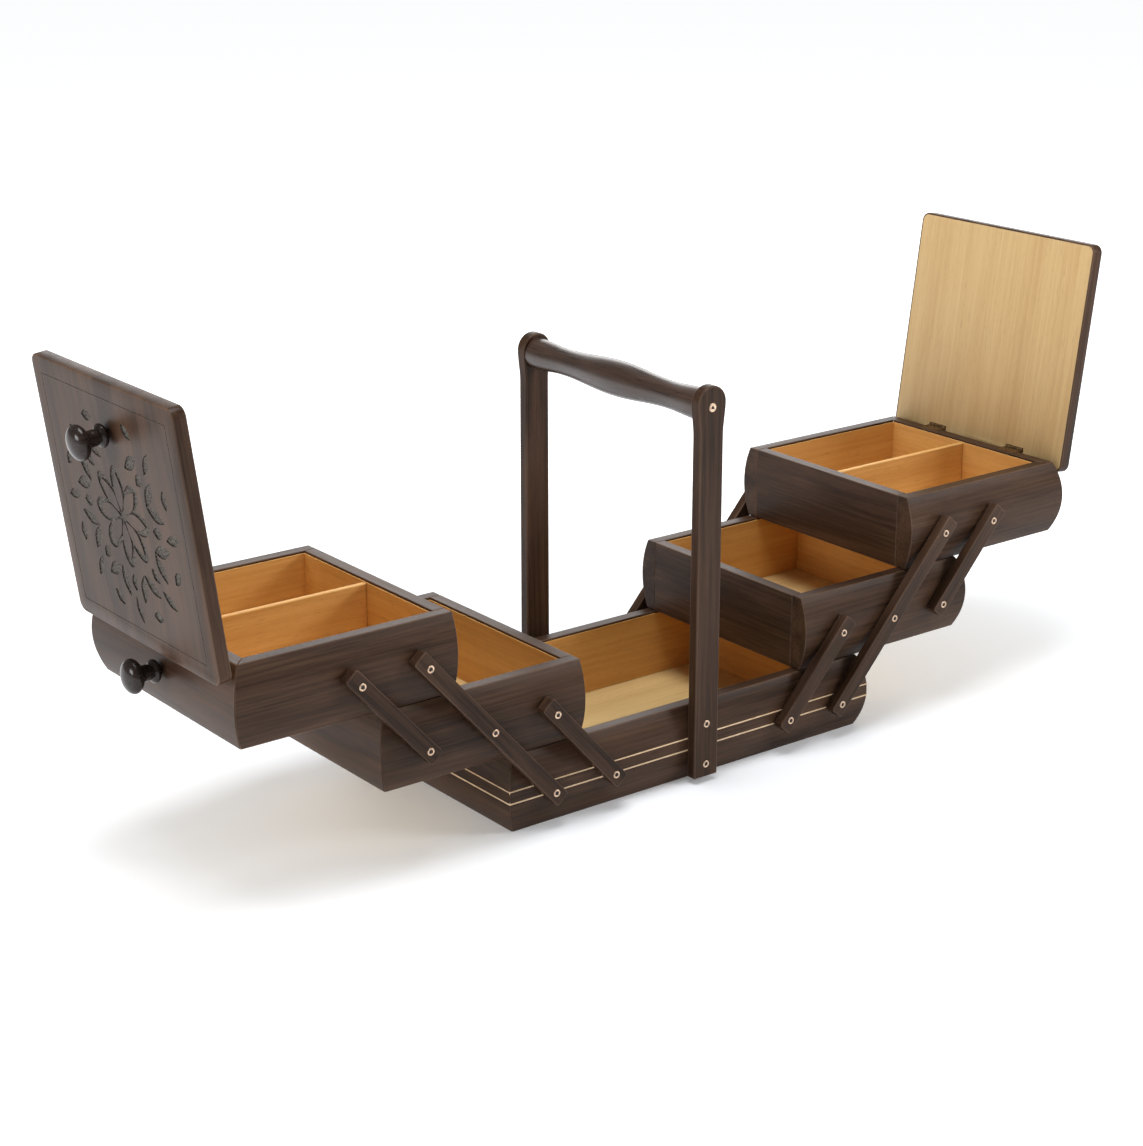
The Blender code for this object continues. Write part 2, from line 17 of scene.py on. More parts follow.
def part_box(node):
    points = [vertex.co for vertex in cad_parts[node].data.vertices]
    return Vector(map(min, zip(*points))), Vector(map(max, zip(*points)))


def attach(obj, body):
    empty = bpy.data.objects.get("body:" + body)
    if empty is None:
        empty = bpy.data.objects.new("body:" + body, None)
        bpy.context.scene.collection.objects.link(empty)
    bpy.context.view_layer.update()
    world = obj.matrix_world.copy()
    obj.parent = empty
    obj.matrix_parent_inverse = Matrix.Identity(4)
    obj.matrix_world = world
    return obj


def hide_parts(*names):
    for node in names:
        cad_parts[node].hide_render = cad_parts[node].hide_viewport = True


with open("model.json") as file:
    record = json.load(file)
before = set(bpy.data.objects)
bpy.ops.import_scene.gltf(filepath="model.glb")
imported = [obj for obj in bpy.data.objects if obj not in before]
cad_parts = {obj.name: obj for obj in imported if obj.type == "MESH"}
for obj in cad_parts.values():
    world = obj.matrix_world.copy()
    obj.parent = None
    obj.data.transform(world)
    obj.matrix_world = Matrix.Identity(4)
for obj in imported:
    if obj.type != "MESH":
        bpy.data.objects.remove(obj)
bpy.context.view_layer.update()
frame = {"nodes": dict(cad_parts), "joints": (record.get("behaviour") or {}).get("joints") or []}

# %% [markdown]
# ## Camera, floor and light
#
# The box is seen from its front left, a little from above, through a long lens. A long lens keeps the
# parallel arms looking parallel. The floor is one large pale sheet, and the light comes from big soft
# panels, so shadows have no hard edge and the satin lacquer shows broad highlights.

# %% Camera
VIEW_CENTRE = Vector((-0.0248, 0.0349, 0.1584))
VIEW_TURN = math.radians(37.555)
VIEW_DROP = math.radians(18.69)
VIEW_DISTANCE = 2.2449
LENS_MM = 76.84

looking = Vector((math.cos(VIEW_DROP) * math.sin(VIEW_TURN), math.cos(VIEW_DROP) * math.cos(VIEW_TURN),
                  -math.sin(VIEW_DROP)))
camera = bpy.data.objects.new("camera", bpy.data.cameras.new("camera"))
camera.data.lens = LENS_MM
camera.data.sensor_width = 36.0
camera.data.clip_end = 100.0
camera.location = VIEW_CENTRE - looking * VIEW_DISTANCE
camera.rotation_euler = looking.to_track_quat("-Z", "Y").to_euler()
bpy.context.scene.collection.objects.link(camera)
bpy.context.scene.camera = camera
print("camera at", [round(value, 3) for value in camera.location])


# %% Floor and light
# painted glow of the floor: its own emission, beside the box and far behind it
PAINTED_FLOOR_GLOW = (0.16, 0.76)        # beside the box, and far behind it
GLOW_REACH = (0.10, 1.2)            # metres from the origin, where it starts to grow and where it is full
SKY_STRENGTH = 0.24


def node(tree, kind, inputs=None, **properties):
    """Adds a node to a tree. inputs maps a socket's name or number to a value or an output."""
    made = tree.nodes.new(kind)
    for name, value in properties.items():
        setattr(made, name, value)
    for key, value in (inputs or {}).items():
        if isinstance(value, bpy.types.NodeSocket):
            tree.links.new(value, made.inputs[key])
        else:
            made.inputs[key].default_value = value
    return made


def blank_material(name, roughness=0.5, metallic=0.0):
    material = bpy.data.materials.new(name)
    material.use_nodes = True
    shader = material.node_tree.nodes["Principled BSDF"]
    shader.inputs["Roughness"].default_value = roughness
    shader.inputs["Metallic"].default_value = metallic
    return material, material.node_tree, shader


def add_floor():
    """A pale sheet with a painted glow: it emits light, faint beside the box and growing far from it, which
    whitens the far floor and lightens the shadows beside the box.
    """
    material, tree, shader = blank_material("studio_floor", roughness=0.62)
    shader.inputs["Base Color"].default_value = (0.818, 0.84, 0.872, 1.0)
    shader.inputs["Emission Color"].default_value = (1.0, 1.0, 1.0, 1.0)
    place = node(tree, "ShaderNodeTexCoord").outputs["Object"]
    distance = node(tree, "ShaderNodeVectorMath", {0: place}, operation="LENGTH").outputs["Value"]
    # painted glow: the floor's emission grows with distance from the box
    glow = node(tree, "ShaderNodeMapRange", {"Value": distance, "From Min": GLOW_REACH[0],
                                             "From Max": GLOW_REACH[1], "To Min": PAINTED_FLOOR_GLOW[0],
                                             "To Max": PAINTED_FLOOR_GLOW[1]}, interpolation_type="SMOOTHSTEP")
    tree.links.new(glow.outputs["Result"], shader.inputs["Emission Strength"])
    mesh = bpy.data.meshes.new("floor")
    reach = 30.0
    mesh.from_pydata([(-reach, -reach, 0), (reach, -reach, 0), (reach, reach, 0), (-reach, reach, 0)], [],
                     [(0, 1, 2, 3)])
    mesh.materials.append(material)
    floor = bpy.data.objects.new("floor", mesh)
    bpy.context.scene.collection.objects.link(floor)


def add_panel_light(name, place, width, height, power):
    data = bpy.data.lights.new(name, "AREA")
    data.shape = "RECTANGLE"
    data.size, data.size_y = width, height
    data.energy = power
    light = bpy.data.objects.new(name, data)
    light.location = place
    light.rotation_euler = (VIEW_CENTRE - Vector(place)).to_track_quat("-Z", "Y").to_euler()
    bpy.context.scene.collection.objects.link(light)


def add_sky(strength):
    world = bpy.data.worlds.new("studio")
    world.use_nodes = True
    background = world.node_tree.nodes["Background"]
    background.inputs["Color"].default_value = (1.0, 1.0, 1.0, 1.0)
    background.inputs["Strength"].default_value = strength
    bpy.context.scene.world = world


add_floor()
add_sky(SKY_STRENGTH)
add_panel_light("overhead_panel", (-0.30, -0.10, 2.5), 1.3, 1.3, 50.0)
add_panel_light("left_panel", (-2.7, 0.25, 0.85), 0.9, 0.7, 26.0)
add_panel_light("back_panel", (2.1, 2.7, 1.35), 3.2, 1.3, 38.0)
add_panel_light("front_panel", (1.7, -1.9, 1.25), 0.8, 0.6, 26.0)
bpy.context.scene.view_settings.view_transform = "Standard"
print("floor, sky and", len(bpy.data.lights), "panels")

# %% [markdown]
# ## Finishes
#
# Wood is not one colour. It has a broad figure that changes over a hand's width, fine streaks that run
# with the grain, and pores that show as short dark dashes. Each is a noise stretched along the board's
# length. The stretch has to follow each board, whichever way the board lies, so every piece stores the
# coordinates it was drawn in as an attribute named board, with X along the grain, and the wood reads
# that attribute. Arrises are painted a little lighter, partly as wear where lacquer wears thin and
# partly as a painted highlight along every edge: the faces that ease an edge carry 1 in a face attribute
# that the wood reads.


# %% Wood
def mapped_noise(tree, vector, scale, detail, roughness=0.55, distortion=0.0):
    """Noise stretched by a scale for each axis of the board, from about 0 to 1."""
    mapping = node(tree, "ShaderNodeMapping", {"Vector": vector, "Scale": scale})
    noise = node(tree, "ShaderNodeTexNoise", {"Vector": mapping.outputs["Vector"], "Scale": 1.0,
                                              "Detail": detail, "Roughness": roughness,
                                              "Distortion": distortion})
    return noise.outputs["Fac"]


def remap(tree, value, low, high, to_low=0.0, to_high=1.0):
    ranged = node(tree, "ShaderNodeMapRange", {"Value": value, "From Min": low, "From Max": high,
                                               "To Min": to_low, "To Max": to_high})
    return ranged.outputs["Result"]


def mix_colour(tree, factor, first, second):
    """first where factor is 0, second where it is 1. Those two are colours or outputs."""
    mixed = node(tree, "ShaderNodeMix", data_type="RGBA")
    for number, value in ((0, factor), (6, first), (7, second)):
        if isinstance(value, bpy.types.NodeSocket):
            tree.links.new(value, mixed.inputs[number])
        else:
            mixed.inputs[number].default_value = (*value, 1.0)
    return mixed.outputs[2]


def arith(tree, operation, first, second=0.0, third=0.0, kind="ShaderNodeMath"):
    return node(tree, kind, {0: first, 1: second, 2: third}, operation=operation).outputs[0]


def make_wood(name, dark, light, edge, roughness, figure_scale, streak_scale, contrast, coat, shine):
    """Stretched noise for figure, streaks and pores. contrast is how far the streaks pull the colour."""
    material, tree, shader = blank_material(name, roughness)
    board = node(tree, "ShaderNodeAttribute", attribute_name="board").outputs["Vector"]
    figure = mapped_noise(tree, board, figure_scale, 3.0, distortion=0.8)
    streaks = mapped_noise(tree, board, streak_scale, 4.0, roughness=0.62)
    pores = mapped_noise(tree, board, (70.0, 2100.0, 2100.0), 2.0)
    broad = remap(tree, figure, 0.34, 0.68)
    fine = remap(tree, streaks, 0.36, 0.66)
    tone = arith(tree, "ADD", arith(tree, "MULTIPLY", broad, 1.0 - contrast),
                 arith(tree, "MULTIPLY", fine, contrast))
    colour = mix_colour(tree, tone, dark, light)
    pore_share = remap(tree, pores, 0.60, 0.72, 0.0, 0.45)
    colour = mix_colour(tree, pore_share, colour, [value * 0.45 for value in dark])
    # lighter arrises: partly wear, partly a painted highlight along the edges
    edge_wear_and_highlight = node(tree, "ShaderNodeAttribute", attribute_name="edge_wear_and_highlight").outputs["Fac"]
    wear_and_highlight = arith(tree, "MULTIPLY", edge_wear_and_highlight, remap(tree, figure, 0.3, 0.7, 0.15, 0.75))
    colour = mix_colour(tree, wear_and_highlight, colour, edge)
    tree.links.new(colour, shader.inputs["Base Color"])
    gloss = remap(tree, streaks, 0.3, 0.7, roughness - 0.06, roughness + 0.08)
    tree.links.new(gloss, shader.inputs["Roughness"])
    height = arith(tree, "SUBTRACT", arith(tree, "MULTIPLY", streaks, 0.7),
                   arith(tree, "MULTIPLY", pore_share, 0.8))
    bump = node(tree, "ShaderNodeBump", {"Strength": 0.22, "Distance": 0.0004, "Height": height})
    tree.links.new(bump.outputs["Normal"], shader.inputs["Normal"])
    shader.inputs["Coat Weight"].default_value = coat
    shader.inputs["Coat Roughness"].default_value = 0.32
    shader.inputs["Specular IOR Level"].default_value = shine
    return material


WALNUT_SCALES = (4.0, 30.0, 30.0), (10.0, 430.0, 430.0)     # figure, then streaks
HONEY_SCALES = (2.2, 34.0, 34.0), (6.0, 260.0, 260.0)
PALE_SCALES = (2.0, 26.0, 26.0), (5.0, 230.0, 230.0)
WALNUT = make_wood("dark_walnut", (0.016, 0.0075, 0.004), (0.090, 0.047, 0.027), (0.140, 0.086, 0.058),
                   0.36, *WALNUT_SCALES, 0.42, 0.0, 0.13)
HELD_WALNUT = make_wood("hand_polished_walnut", (0.016, 0.0075, 0.004), (0.070, 0.036, 0.022),
                        (0.110, 0.065, 0.045), 0.30, *WALNUT_SCALES, 0.50, 0.45, 0.40)
# painted light and shade: the same pine comes in copies by where it sits, a deeper orange one for the walls,
# linings and dividers, which stand in shade, and a paler one for the bottom boards, which face the light
PINE = make_wood("honey_pine", (0.590, 0.285, 0.072), (0.750, 0.415, 0.130), (0.780, 0.490, 0.190),
                 0.50, *HONEY_SCALES, 0.45, 0.0, 0.30)
LID_PINE = make_wood("lid_pine", (0.490, 0.312, 0.134), (0.602, 0.424, 0.205), (0.680, 0.510, 0.290),
                     0.50, *PALE_SCALES, 0.45, 0.0, 0.30)
LIT_FLOOR_PINE = make_wood("lit_floor_pine", (0.600, 0.395, 0.160), (0.730, 0.530, 0.240), (0.780, 0.600, 0.320),
                       0.50, *PALE_SCALES, 0.45, 0.0, 0.30)
print("woods:", WALNUT.name, HELD_WALNUT.name, PINE.name, LID_PINE.name, LIT_FLOOR_PINE.name)


# %% Turned, inlaid, carved and metal finishes
def make_turned_black():
    """Near-black polish on the turned knobs, with the wood just showing in the light."""
    material, tree, shader = blank_material("black_polish_and_hole_shade", 0.24)
    board = node(tree, "ShaderNodeAttribute", attribute_name="board").outputs["Vector"]
    streaks = mapped_noise(tree, board, (30.0, 600.0, 600.0), 3.0)
    colour = mix_colour(tree, remap(tree, streaks, 0.35, 0.7), (0.013, 0.009, 0.0075), (0.032, 0.021, 0.017))
    tree.links.new(colour, shader.inputs["Base Color"])
    tree.links.new(remap(tree, streaks, 0.3, 0.7, 0.17, 0.21), shader.inputs["Roughness"])
    shader.inputs["Specular IOR Level"].default_value = 0.26
    return material


def make_inlay():
    material, tree, shader = blank_material("maple_inlay", 0.42)
    place = node(tree, "ShaderNodeTexCoord").outputs["Object"]
    streaks = mapped_noise(tree, place, (160.0, 160.0, 900.0), 3.0)
    colour = mix_colour(tree, remap(tree, streaks, 0.3, 0.7), (0.60, 0.40, 0.22), (0.82, 0.60, 0.38))
    tree.links.new(colour, shader.inputs["Base Color"])
    tree.links.new(remap(tree, streaks, 0.3, 0.7, 0.36, 0.50), shader.inputs["Roughness"])
    return material


def make_carved_ground():
    """The sunk ground of the carving, stippled with a pointed punch so that it reads darker and dull."""
    material, tree, shader = blank_material("punched_ground", 0.72)
    place = node(tree, "ShaderNodeTexCoord").outputs["Object"]
    punch = node(tree, "ShaderNodeTexVoronoi", {"Vector": place, "Scale": 560.0, "Randomness": 0.9})
    dots = punch.outputs["Distance"]
    dust = mapped_noise(tree, place, (620.0, 620.0, 620.0), 3.0, roughness=0.7)
    tone = arith(tree, "MULTIPLY", remap(tree, dots, 0.15, 0.50), remap(tree, dust, 0.40, 0.60, 0.45, 1.0))
    colour = mix_colour(tree, tone, (0.006, 0.005, 0.0045), (0.135, 0.118, 0.102))
    tree.links.new(colour, shader.inputs["Base Color"])
    tree.links.new(remap(tree, dust, 0.3, 0.7, 0.60, 0.85), shader.inputs["Roughness"])
    shader.inputs["Specular IOR Level"].default_value = 0.12
    bump = node(tree, "ShaderNodeBump", {"Strength": 0.7, "Distance": 0.0007, "Height": dots})
    tree.links.new(bump.outputs["Normal"], shader.inputs["Normal"])
    return material


def make_metal(name, bright, dull, roughness):
    """Rolled metal with handling marks: the dull colour gathers where the noise is high."""
    material, tree, shader = blank_material(name, roughness, metallic=1.0)
    place = node(tree, "ShaderNodeTexCoord").outputs["Object"]
    stains = mapped_noise(tree, place, (420.0, 420.0, 420.0), 4.0)
    colour = mix_colour(tree, remap(tree, stains, 0.38, 0.68), bright, dull)
    tree.links.new(colour, shader.inputs["Base Color"])
    handled = remap(tree, stains, 0.3, 0.7, roughness - 0.08, roughness + 0.12)
    tree.links.new(handled, shader.inputs["Roughness"])
    bump = node(tree, "ShaderNodeBump", {"Strength": 0.12, "Distance": 0.0002, "Height": stains})
    tree.links.new(bump.outputs["Normal"], shader.inputs["Normal"])
    return material


# this black also serves as the painted shade in the rivets' holes
BLACK_POLISH_AND_HOLE_SHADE = make_turned_black()
INLAY = make_inlay()
CARVED_GROUND = make_carved_ground()
RIVET_COPPER = make_metal("rivet_copper", (0.74, 0.54, 0.39), (0.48, 0.33, 0.23), 0.36)
BRASS = make_metal("aged_brass", (0.30, 0.19, 0.09), (0.075, 0.045, 0.025), 0.45)
print(len(bpy.data.materials), "materials")

# %% [markdown]
# ## Helpers that every piece uses
#
# A piece is drawn flat, in its own coordinates, with X along its grain. The helper below stores those
# coordinates for the wood, then moves the mesh itself to its place on the box, so that the object stays
# at the origin. Last it hangs the piece on the body it rides on and hides the measured nodes it stands for.

# %% Finishing and evaluating pieces
made_pieces = []
GRAIN_SHIFT = Vector((0.371, 0.233, 0.197))     # each piece reads another stretch of the wood


def finish(name, mesh, place, material, body, nodes=(), grain=(0, 1, 2)):
    """A drawn mesh becomes a finished piece. grain lists the axes along the grain and across it."""
    board = mesh.attributes.new("board", "FLOAT_VECTOR", "POINT")
    shift = GRAIN_SHIFT * (1 + len(made_pieces))
    values = []
    for vertex in mesh.vertices:
        for number, axis in enumerate(grain):
            values.append(vertex.co[axis] + shift[number])
    board.data.foreach_set("vector", values)
    mesh.transform(place)
    if material:
        mesh.materials.clear()
        mesh.materials.append(material)
    mesh.name = name
    piece = bpy.data.objects.new(name, mesh)
    bpy.context.scene.collection.objects.link(piece)
    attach(piece, body)
    if nodes:
        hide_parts(*nodes)
    made_pieces.append(piece)
    return piece


def mesh_from(bm, name):
    """The mesh that a bmesh has drawn. The bmesh goes."""
    mesh = bpy.data.meshes.new(name)
    bm.to_mesh(mesh)
    bm.free()
    return mesh


def drawn(mesh):
    """A temporary object for modifiers to work on."""
    body = bpy.data.objects.new("drawn", mesh)
    bpy.context.scene.collection.objects.link(body)
    return body


def evaluated(body):
    """The mesh with all modifiers worked in. The temporary object goes."""
    bpy.context.view_layer.update()
    depsgraph = bpy.context.evaluated_depsgraph_get()
    mesh = bpy.data.meshes.new_from_object(body.evaluated_get(depsgraph))
    bpy.data.objects.remove(body)
    return mesh


ARRIS_ANGLE = math.radians(35.0)    # edges sharper than this are eased


def eased(mesh, width, segments=3, hardened=True):
    """The mesh with its arrises rounded, and the faces that round them marked for the lighter edge colour of
    wear and painted highlight.
    """
    mesh.materials.clear()
    for _ in range(2):
        mesh.materials.append(None)
    for polygon in mesh.polygons:
        polygon.material_index = 0
        polygon.use_smooth = True
    body = drawn(mesh)
    bevel = body.modifiers.new("eased_edges", "BEVEL")
    bevel.width = width
    bevel.segments = segments
    bevel.limit_method = "ANGLE"
    bevel.angle_limit = ARRIS_ANGLE
    bevel.harden_normals = hardened
    bevel.material = 1
    result = evaluated(body)
    # marks the eased faces for the lighter edge colour: wear and painted highlight
    edge_wear_and_highlight = result.attributes.new("edge_wear_and_highlight", "FLOAT", "FACE")
    edge_wear_and_highlight.data.foreach_set("value", [float(polygon.material_index) for polygon in result.polygons])
    for polygon in result.polygons:
        polygon.material_index = 0
    result.materials.clear()
    return result


def facing(along, outward, origin):
    """Places a board drawn along X with its show face towards +Y: Z becomes along x outward."""
    along, outward = Vector(along).normalized(), Vector(outward).normalized()
    turn = Matrix((along, outward, along.cross(outward))).transposed().to_4x4()
    return Matrix.Translation(Vector(origin)) @ turn


def laid(along, up, origin):
    """Places a shape drawn along X with its show face towards +Z."""
    along, up = Vector(along).normalized(), Vector(up).normalized()
    turn = Matrix((along, up.cross(along), up)).transposed().to_4x4()
    return Matrix.Translation(Vector(origin)) @ turn


def raised(height):
    """Moves a drawing straight up."""
    return Matrix.Translation((0.0, 0.0, height))


def box_in(node_name, place):
    """The lowest and highest corner of a measured node, in the coordinates that place turns from."""
    back = place.inverted()
    corners = [back @ vertex.co for vertex in frame["nodes"][node_name].data.vertices]
    low = Vector([min(corner[axis] for corner in corners) for axis in range(3)])
    high = Vector([max(corner[axis] for corner in corners) for axis in range(3)])
    return low, high


BANKS = {"right": Matrix.Identity(4), "left": Matrix.Rotation(math.pi, 4, "Z")}


def side_of(bank, sign):
    """The name of the long side where a piece drawn on the right-hand bank at sign * Y ends up."""
    return "back" if (sign > 0) == (bank == "right") else "front"


print("banks:", ", ".join(BANKS))

# %% [markdown]
# ## Boards
#
# Every wall of the box is one rule: a board with a flat inside and a shallow arc outside, square or
# mitred at each end. A flat board is the same rule with no swell. That suits Geometry Nodes: one tree
# takes the sizes as inputs, starts from a plain grid block and moves each point by the rule. The
# outside of the arc at height z is (h^2 - z^2) / (sqrt(R^2 - z^2) + R - s), for half height h, swell s
# and arc radius R = (h^2 + s^2) / 2s, and a mitred end simply reaches as much further as the point
# stands outwards.

# %% The board tree
BOARD_INPUTS = (("Length", 0.2), ("Height", 0.07), ("Thickness", 0.01), ("Swell", 0.0), ("Start Mitre", 0.0),
                ("End Mitre", 0.0), ("Rows", 2), ("Finish", None))
SOCKET_KINDS = {float: "NodeSocketFloat", int: "NodeSocketInt", type(None): "NodeSocketMaterial"}


def new_tree(name, inputs, takes_geometry=False):
    """A geometry tree with named inputs, an output and, where asked, a geometry input."""
    tree = bpy.data.node_groups.new(name, "GeometryNodeTree")
    if takes_geometry:
        tree.interface.new_socket("Geometry", in_out="INPUT", socket_type="NodeSocketGeometry")
    for label, default in inputs:
        kind = "NodeSocketObject" if default is Ellipsis else SOCKET_KINDS[type(default)]
        socket = tree.interface.new_socket(label, in_out="INPUT", socket_type=kind)
        if isinstance(default, (float, int)):
            socket.default_value = default
    tree.interface.new_socket("Geometry", in_out="OUTPUT", socket_type="NodeSocketGeometry")
    entry = node(tree, "NodeGroupInput")
    return tree, entry.outputs


def close_tree(tree, geometry, finish_socket):
    """Ends a tree the same way every time: real geometry, with its material."""
    real = node(tree, "GeometryNodeRealizeInstances", {0: geometry})
    coloured = node(tree, "GeometryNodeSetMaterial", {"Geometry": real.outputs[0], "Material": finish_socket})
    node(tree, "NodeGroupOutput", {0: coloured.outputs[0]})
    return tree


def make_board_tree():
    tree, sizes = new_tree("swelling_board", BOARD_INPUTS)

    def calc(operation, first, second=0.0, third=0.0):
        return arith(tree, operation, first, second, third)

    block = node(tree, "GeometryNodeMeshCube", {"Vertices X": 2, "Vertices Y": 2,
                                                "Vertices Z": sizes["Rows"]})
    grid_point = node(tree, "GeometryNodeInputPosition").outputs[0]
    place = node(tree, "ShaderNodeSeparateXYZ", {0: grid_point}).outputs
    half = calc("MULTIPLY", sizes["Height"], 0.5)
    swell = calc("MAXIMUM", sizes["Swell"], 0.00001)
    half_squared = calc("MULTIPLY", half, half)
    radius = calc("DIVIDE", calc("MULTIPLY_ADD", swell, swell, half_squared), calc("MULTIPLY", swell, 2.0))
    level = calc("MULTIPLY", place["Z"], sizes["Height"])
    level_squared = calc("MULTIPLY", level, level)
    reach = calc("SQRT", calc("SUBTRACT", calc("MULTIPLY", radius, radius), level_squared))
    below = calc("ADD", reach, calc("SUBTRACT", radius, swell))
    arc = calc("DIVIDE", calc("SUBTRACT", half_squared, level_squared), below)
    outer = calc("ADD", place["Y"], 0.5)
    inside = calc("MULTIPLY", calc("SUBTRACT", outer, 1.0), sizes["Thickness"])
    depth = calc("MULTIPLY_ADD", outer, arc, inside)
    at_end = calc("GREATER_THAN", place["X"], 0.0)
    mitre = calc("MULTIPLY_ADD", at_end, calc("SUBTRACT", sizes["End Mitre"], sizes["Start Mitre"]),
                 sizes["Start Mitre"])
    half_length = calc("MULTIPLY_ADD", mitre, depth, calc("MULTIPLY", sizes["Length"], 0.5))
    along = calc("MULTIPLY", calc("MULTIPLY", place["X"], 2.0), half_length)
    position = node(tree, "ShaderNodeCombineXYZ", {"X": along, "Y": depth, "Z": calc("ADD", level, half)})
    moved = node(tree, "GeometryNodeSetPosition", {"Geometry": block.outputs["Mesh"],
                                                   "Position": position.outputs[0]})
    return close_tree(tree, moved.outputs[0], sizes["Finish"])


BOARD_TREE = make_board_tree()
print("board tree with", len(BOARD_TREE.nodes), "nodes")


# %% Boards from the tree
SWELL_ROWS = 25                     # levels of points up a swelling board
FLAT_ROWS = 2


def run_tree(body, tree, values):
    """Adds a tree to an object and sets its inputs by their sockets' identifiers."""
    modifier = body.modifiers.new(tree.name, "NODES")
    modifier.node_group = tree
    for item in tree.interface.items_tree:
        if item.item_type == "SOCKET" and item.in_out == "INPUT" and item.name in values:
            modifier[item.identifier] = values[item.name]
    return body


def board_mesh(length, height, thickness, material, swell=0.0, mitres=(0.0, 0.0), edge=0.0008):
    """A board with its show face on y = 0 at top and bottom, its underside on z = 0 and eased arrises."""
    rows = SWELL_ROWS if swell else FLAT_ROWS
    values = {"Length": length, "Height": height, "Thickness": thickness, "Swell": swell,
              "Start Mitre": mitres[0], "End Mitre": mitres[1], "Rows": rows, "Finish": material}
    blank = drawn(bpy.data.meshes.new("blank"))
    return eased(evaluated(run_tree(blank, BOARD_TREE, values)), edge)


def cut_with(mesh, cutter, material_mode="INDEX"):
    """mesh less the bodies of cutter."""
    body, tool = drawn(mesh), drawn(cutter)
    boolean = body.modifiers.new("cut", "BOOLEAN")
    boolean.operation = "DIFFERENCE"
    boolean.object = tool
    boolean.material_mode = material_mode
    result = evaluated(body)
    bpy.data.objects.remove(tool)
    return result


def boxes_mesh(boxes):
    """Separate boxes, each given by its low and high corner, in one mesh."""
    bm = bmesh.new()
    for low, high in boxes:
        low, high = Vector(low), Vector(high)
        size = Matrix.Diagonal((*(high - low), 1.0))
        bmesh.ops.create_cube(bm, size=1.0, matrix=Matrix.Translation((low + high) / 2) @ size)
    return mesh_from(bm, "boxes")


print("a test board has", len(board_mesh(0.2, 0.07, 0.01, PINE).polygons), "faces")

# %% [markdown]
# ## The base and the trays
#
# All five wells share one height, one width and one wall. The measured nodes give those sizes: the
# inner end's depth is the wall's thickness, and what a side wall takes up beyond that is its swell.
# Side walls are mitred into the curved outer ends. A tray's inner end is a flat board between the side
# walls, whose end grain shows beside it.

# %% Sizes of the wells
inner_low, inner_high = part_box("right_lower_tray_inner_end")
side_low, side_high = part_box("base_back_wall")
WALL = inner_high.x - inner_low.x
SWELL = (side_high.y - side_low.y) - WALL
RIM_Y = side_high.y - SWELL
TIER_HEIGHT = side_high.z - side_low.z
MITRE_GAP = 0.00012


def well(inner_node, outer_node, bottom_node):
    """(x of the inner rim edge, x of the outer rim edge, underside z, top of the bottom board)."""
    low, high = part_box(inner_node)[0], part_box(outer_node)[1]
    start = low.x + (SWELL if inner_node == "base_left_end" else 0.0)
    return start, high.x - SWELL, low.z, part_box(bottom_node)[1].z


WELLS = {
    "base": well("base_left_end", "base_right_end", "base_bottom"),
    "lower": well("right_lower_tray_inner_end", "right_lower_tray_outer_end", "right_lower_tray_bottom"),
    "upper": well("right_upper_tray_inner_end", "right_upper_tray_outer_end", "right_upper_tray_bottom"),
}
print("wall, swell, rim and height:", [round(value, 4) for value in (WALL, SWELL, RIM_Y, TIER_HEIGHT)])


# %% Hinge line and lid place
joint_places = {joint["name"]: Vector(joint["pos_m"]) for joint in frame["joints"]}
joint_ranges = {joint["name"]: joint["range_deg"] for joint in frame["joints"]}
LID_TURN = math.radians(joint_ranges["right_lid_hinge"][1])
HINGE = joint_places["right_lid_hinge"]
# a closed lid is drawn round its hinge line, and this stands it open
LID_PLACE = Matrix.Translation(HINGE) @ Matrix.Rotation(LID_TURN, 4, "Y")
leaf_low, leaf_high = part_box("right_back_hinge_tray_leaf")
MORTISE_CLEARANCE = 0.0003
MORTISE_DEPTH = 0.0012


def rim_mortises(outer_x, rim_z):
    """Boxes that let the hinge leaves into the rim, in the curved end's own drawing coordinates."""
    boxes = []
    for sign in (1, -1):
        y_low, y_high = sorted((sign * leaf_low.y, sign * leaf_high.y))
        inner = leaf_low.x - outer_x - MORTISE_CLEARANCE
        boxes.append(((y_low - MORTISE_CLEARANCE, inner, rim_z - MORTISE_DEPTH),
                      (y_high + MORTISE_CLEARANCE, SWELL, rim_z + MORTISE_DEPTH)))
    return boxes_mesh(boxes)


print("hinge line at", [round(value, 4) for value in HINGE], "lid open", round(math.degrees(LID_TURN), 1))


# %% Walls, ends, bottoms
def wall(name, bank, body, length, place, mitres, nodes):
    mesh = board_mesh(length - 2 * MITRE_GAP, TIER_HEIGHT, WALL, WALNUT, SWELL, mitres)
    return finish(name, mesh, BANKS[bank] @ place, WALNUT, body, nodes)


def add_base():
    start, end, z, _ = WELLS["base"]
    middle = (start + end) / 2
    mitred = (1.0, 1.0)
    for sign, label in ((1, "back"), (-1, "front")):
        place = facing((sign, 0, 0), (0, sign, 0), (middle, sign * RIM_Y, z))
        wall(f"base_{label}_board", "right", "base", end - start, place, mitred, [f"base_{label}_wall"])
    for sign, label, x in ((1, "right", end), (-1, "left", start)):
        place = facing((0, -sign, 0), (sign, 0, 0), (x, 0, z))
        wall(f"base_{label}_end_board", "right", "base", 2 * RIM_Y, place, mitred, [f"base_{label}_end"])


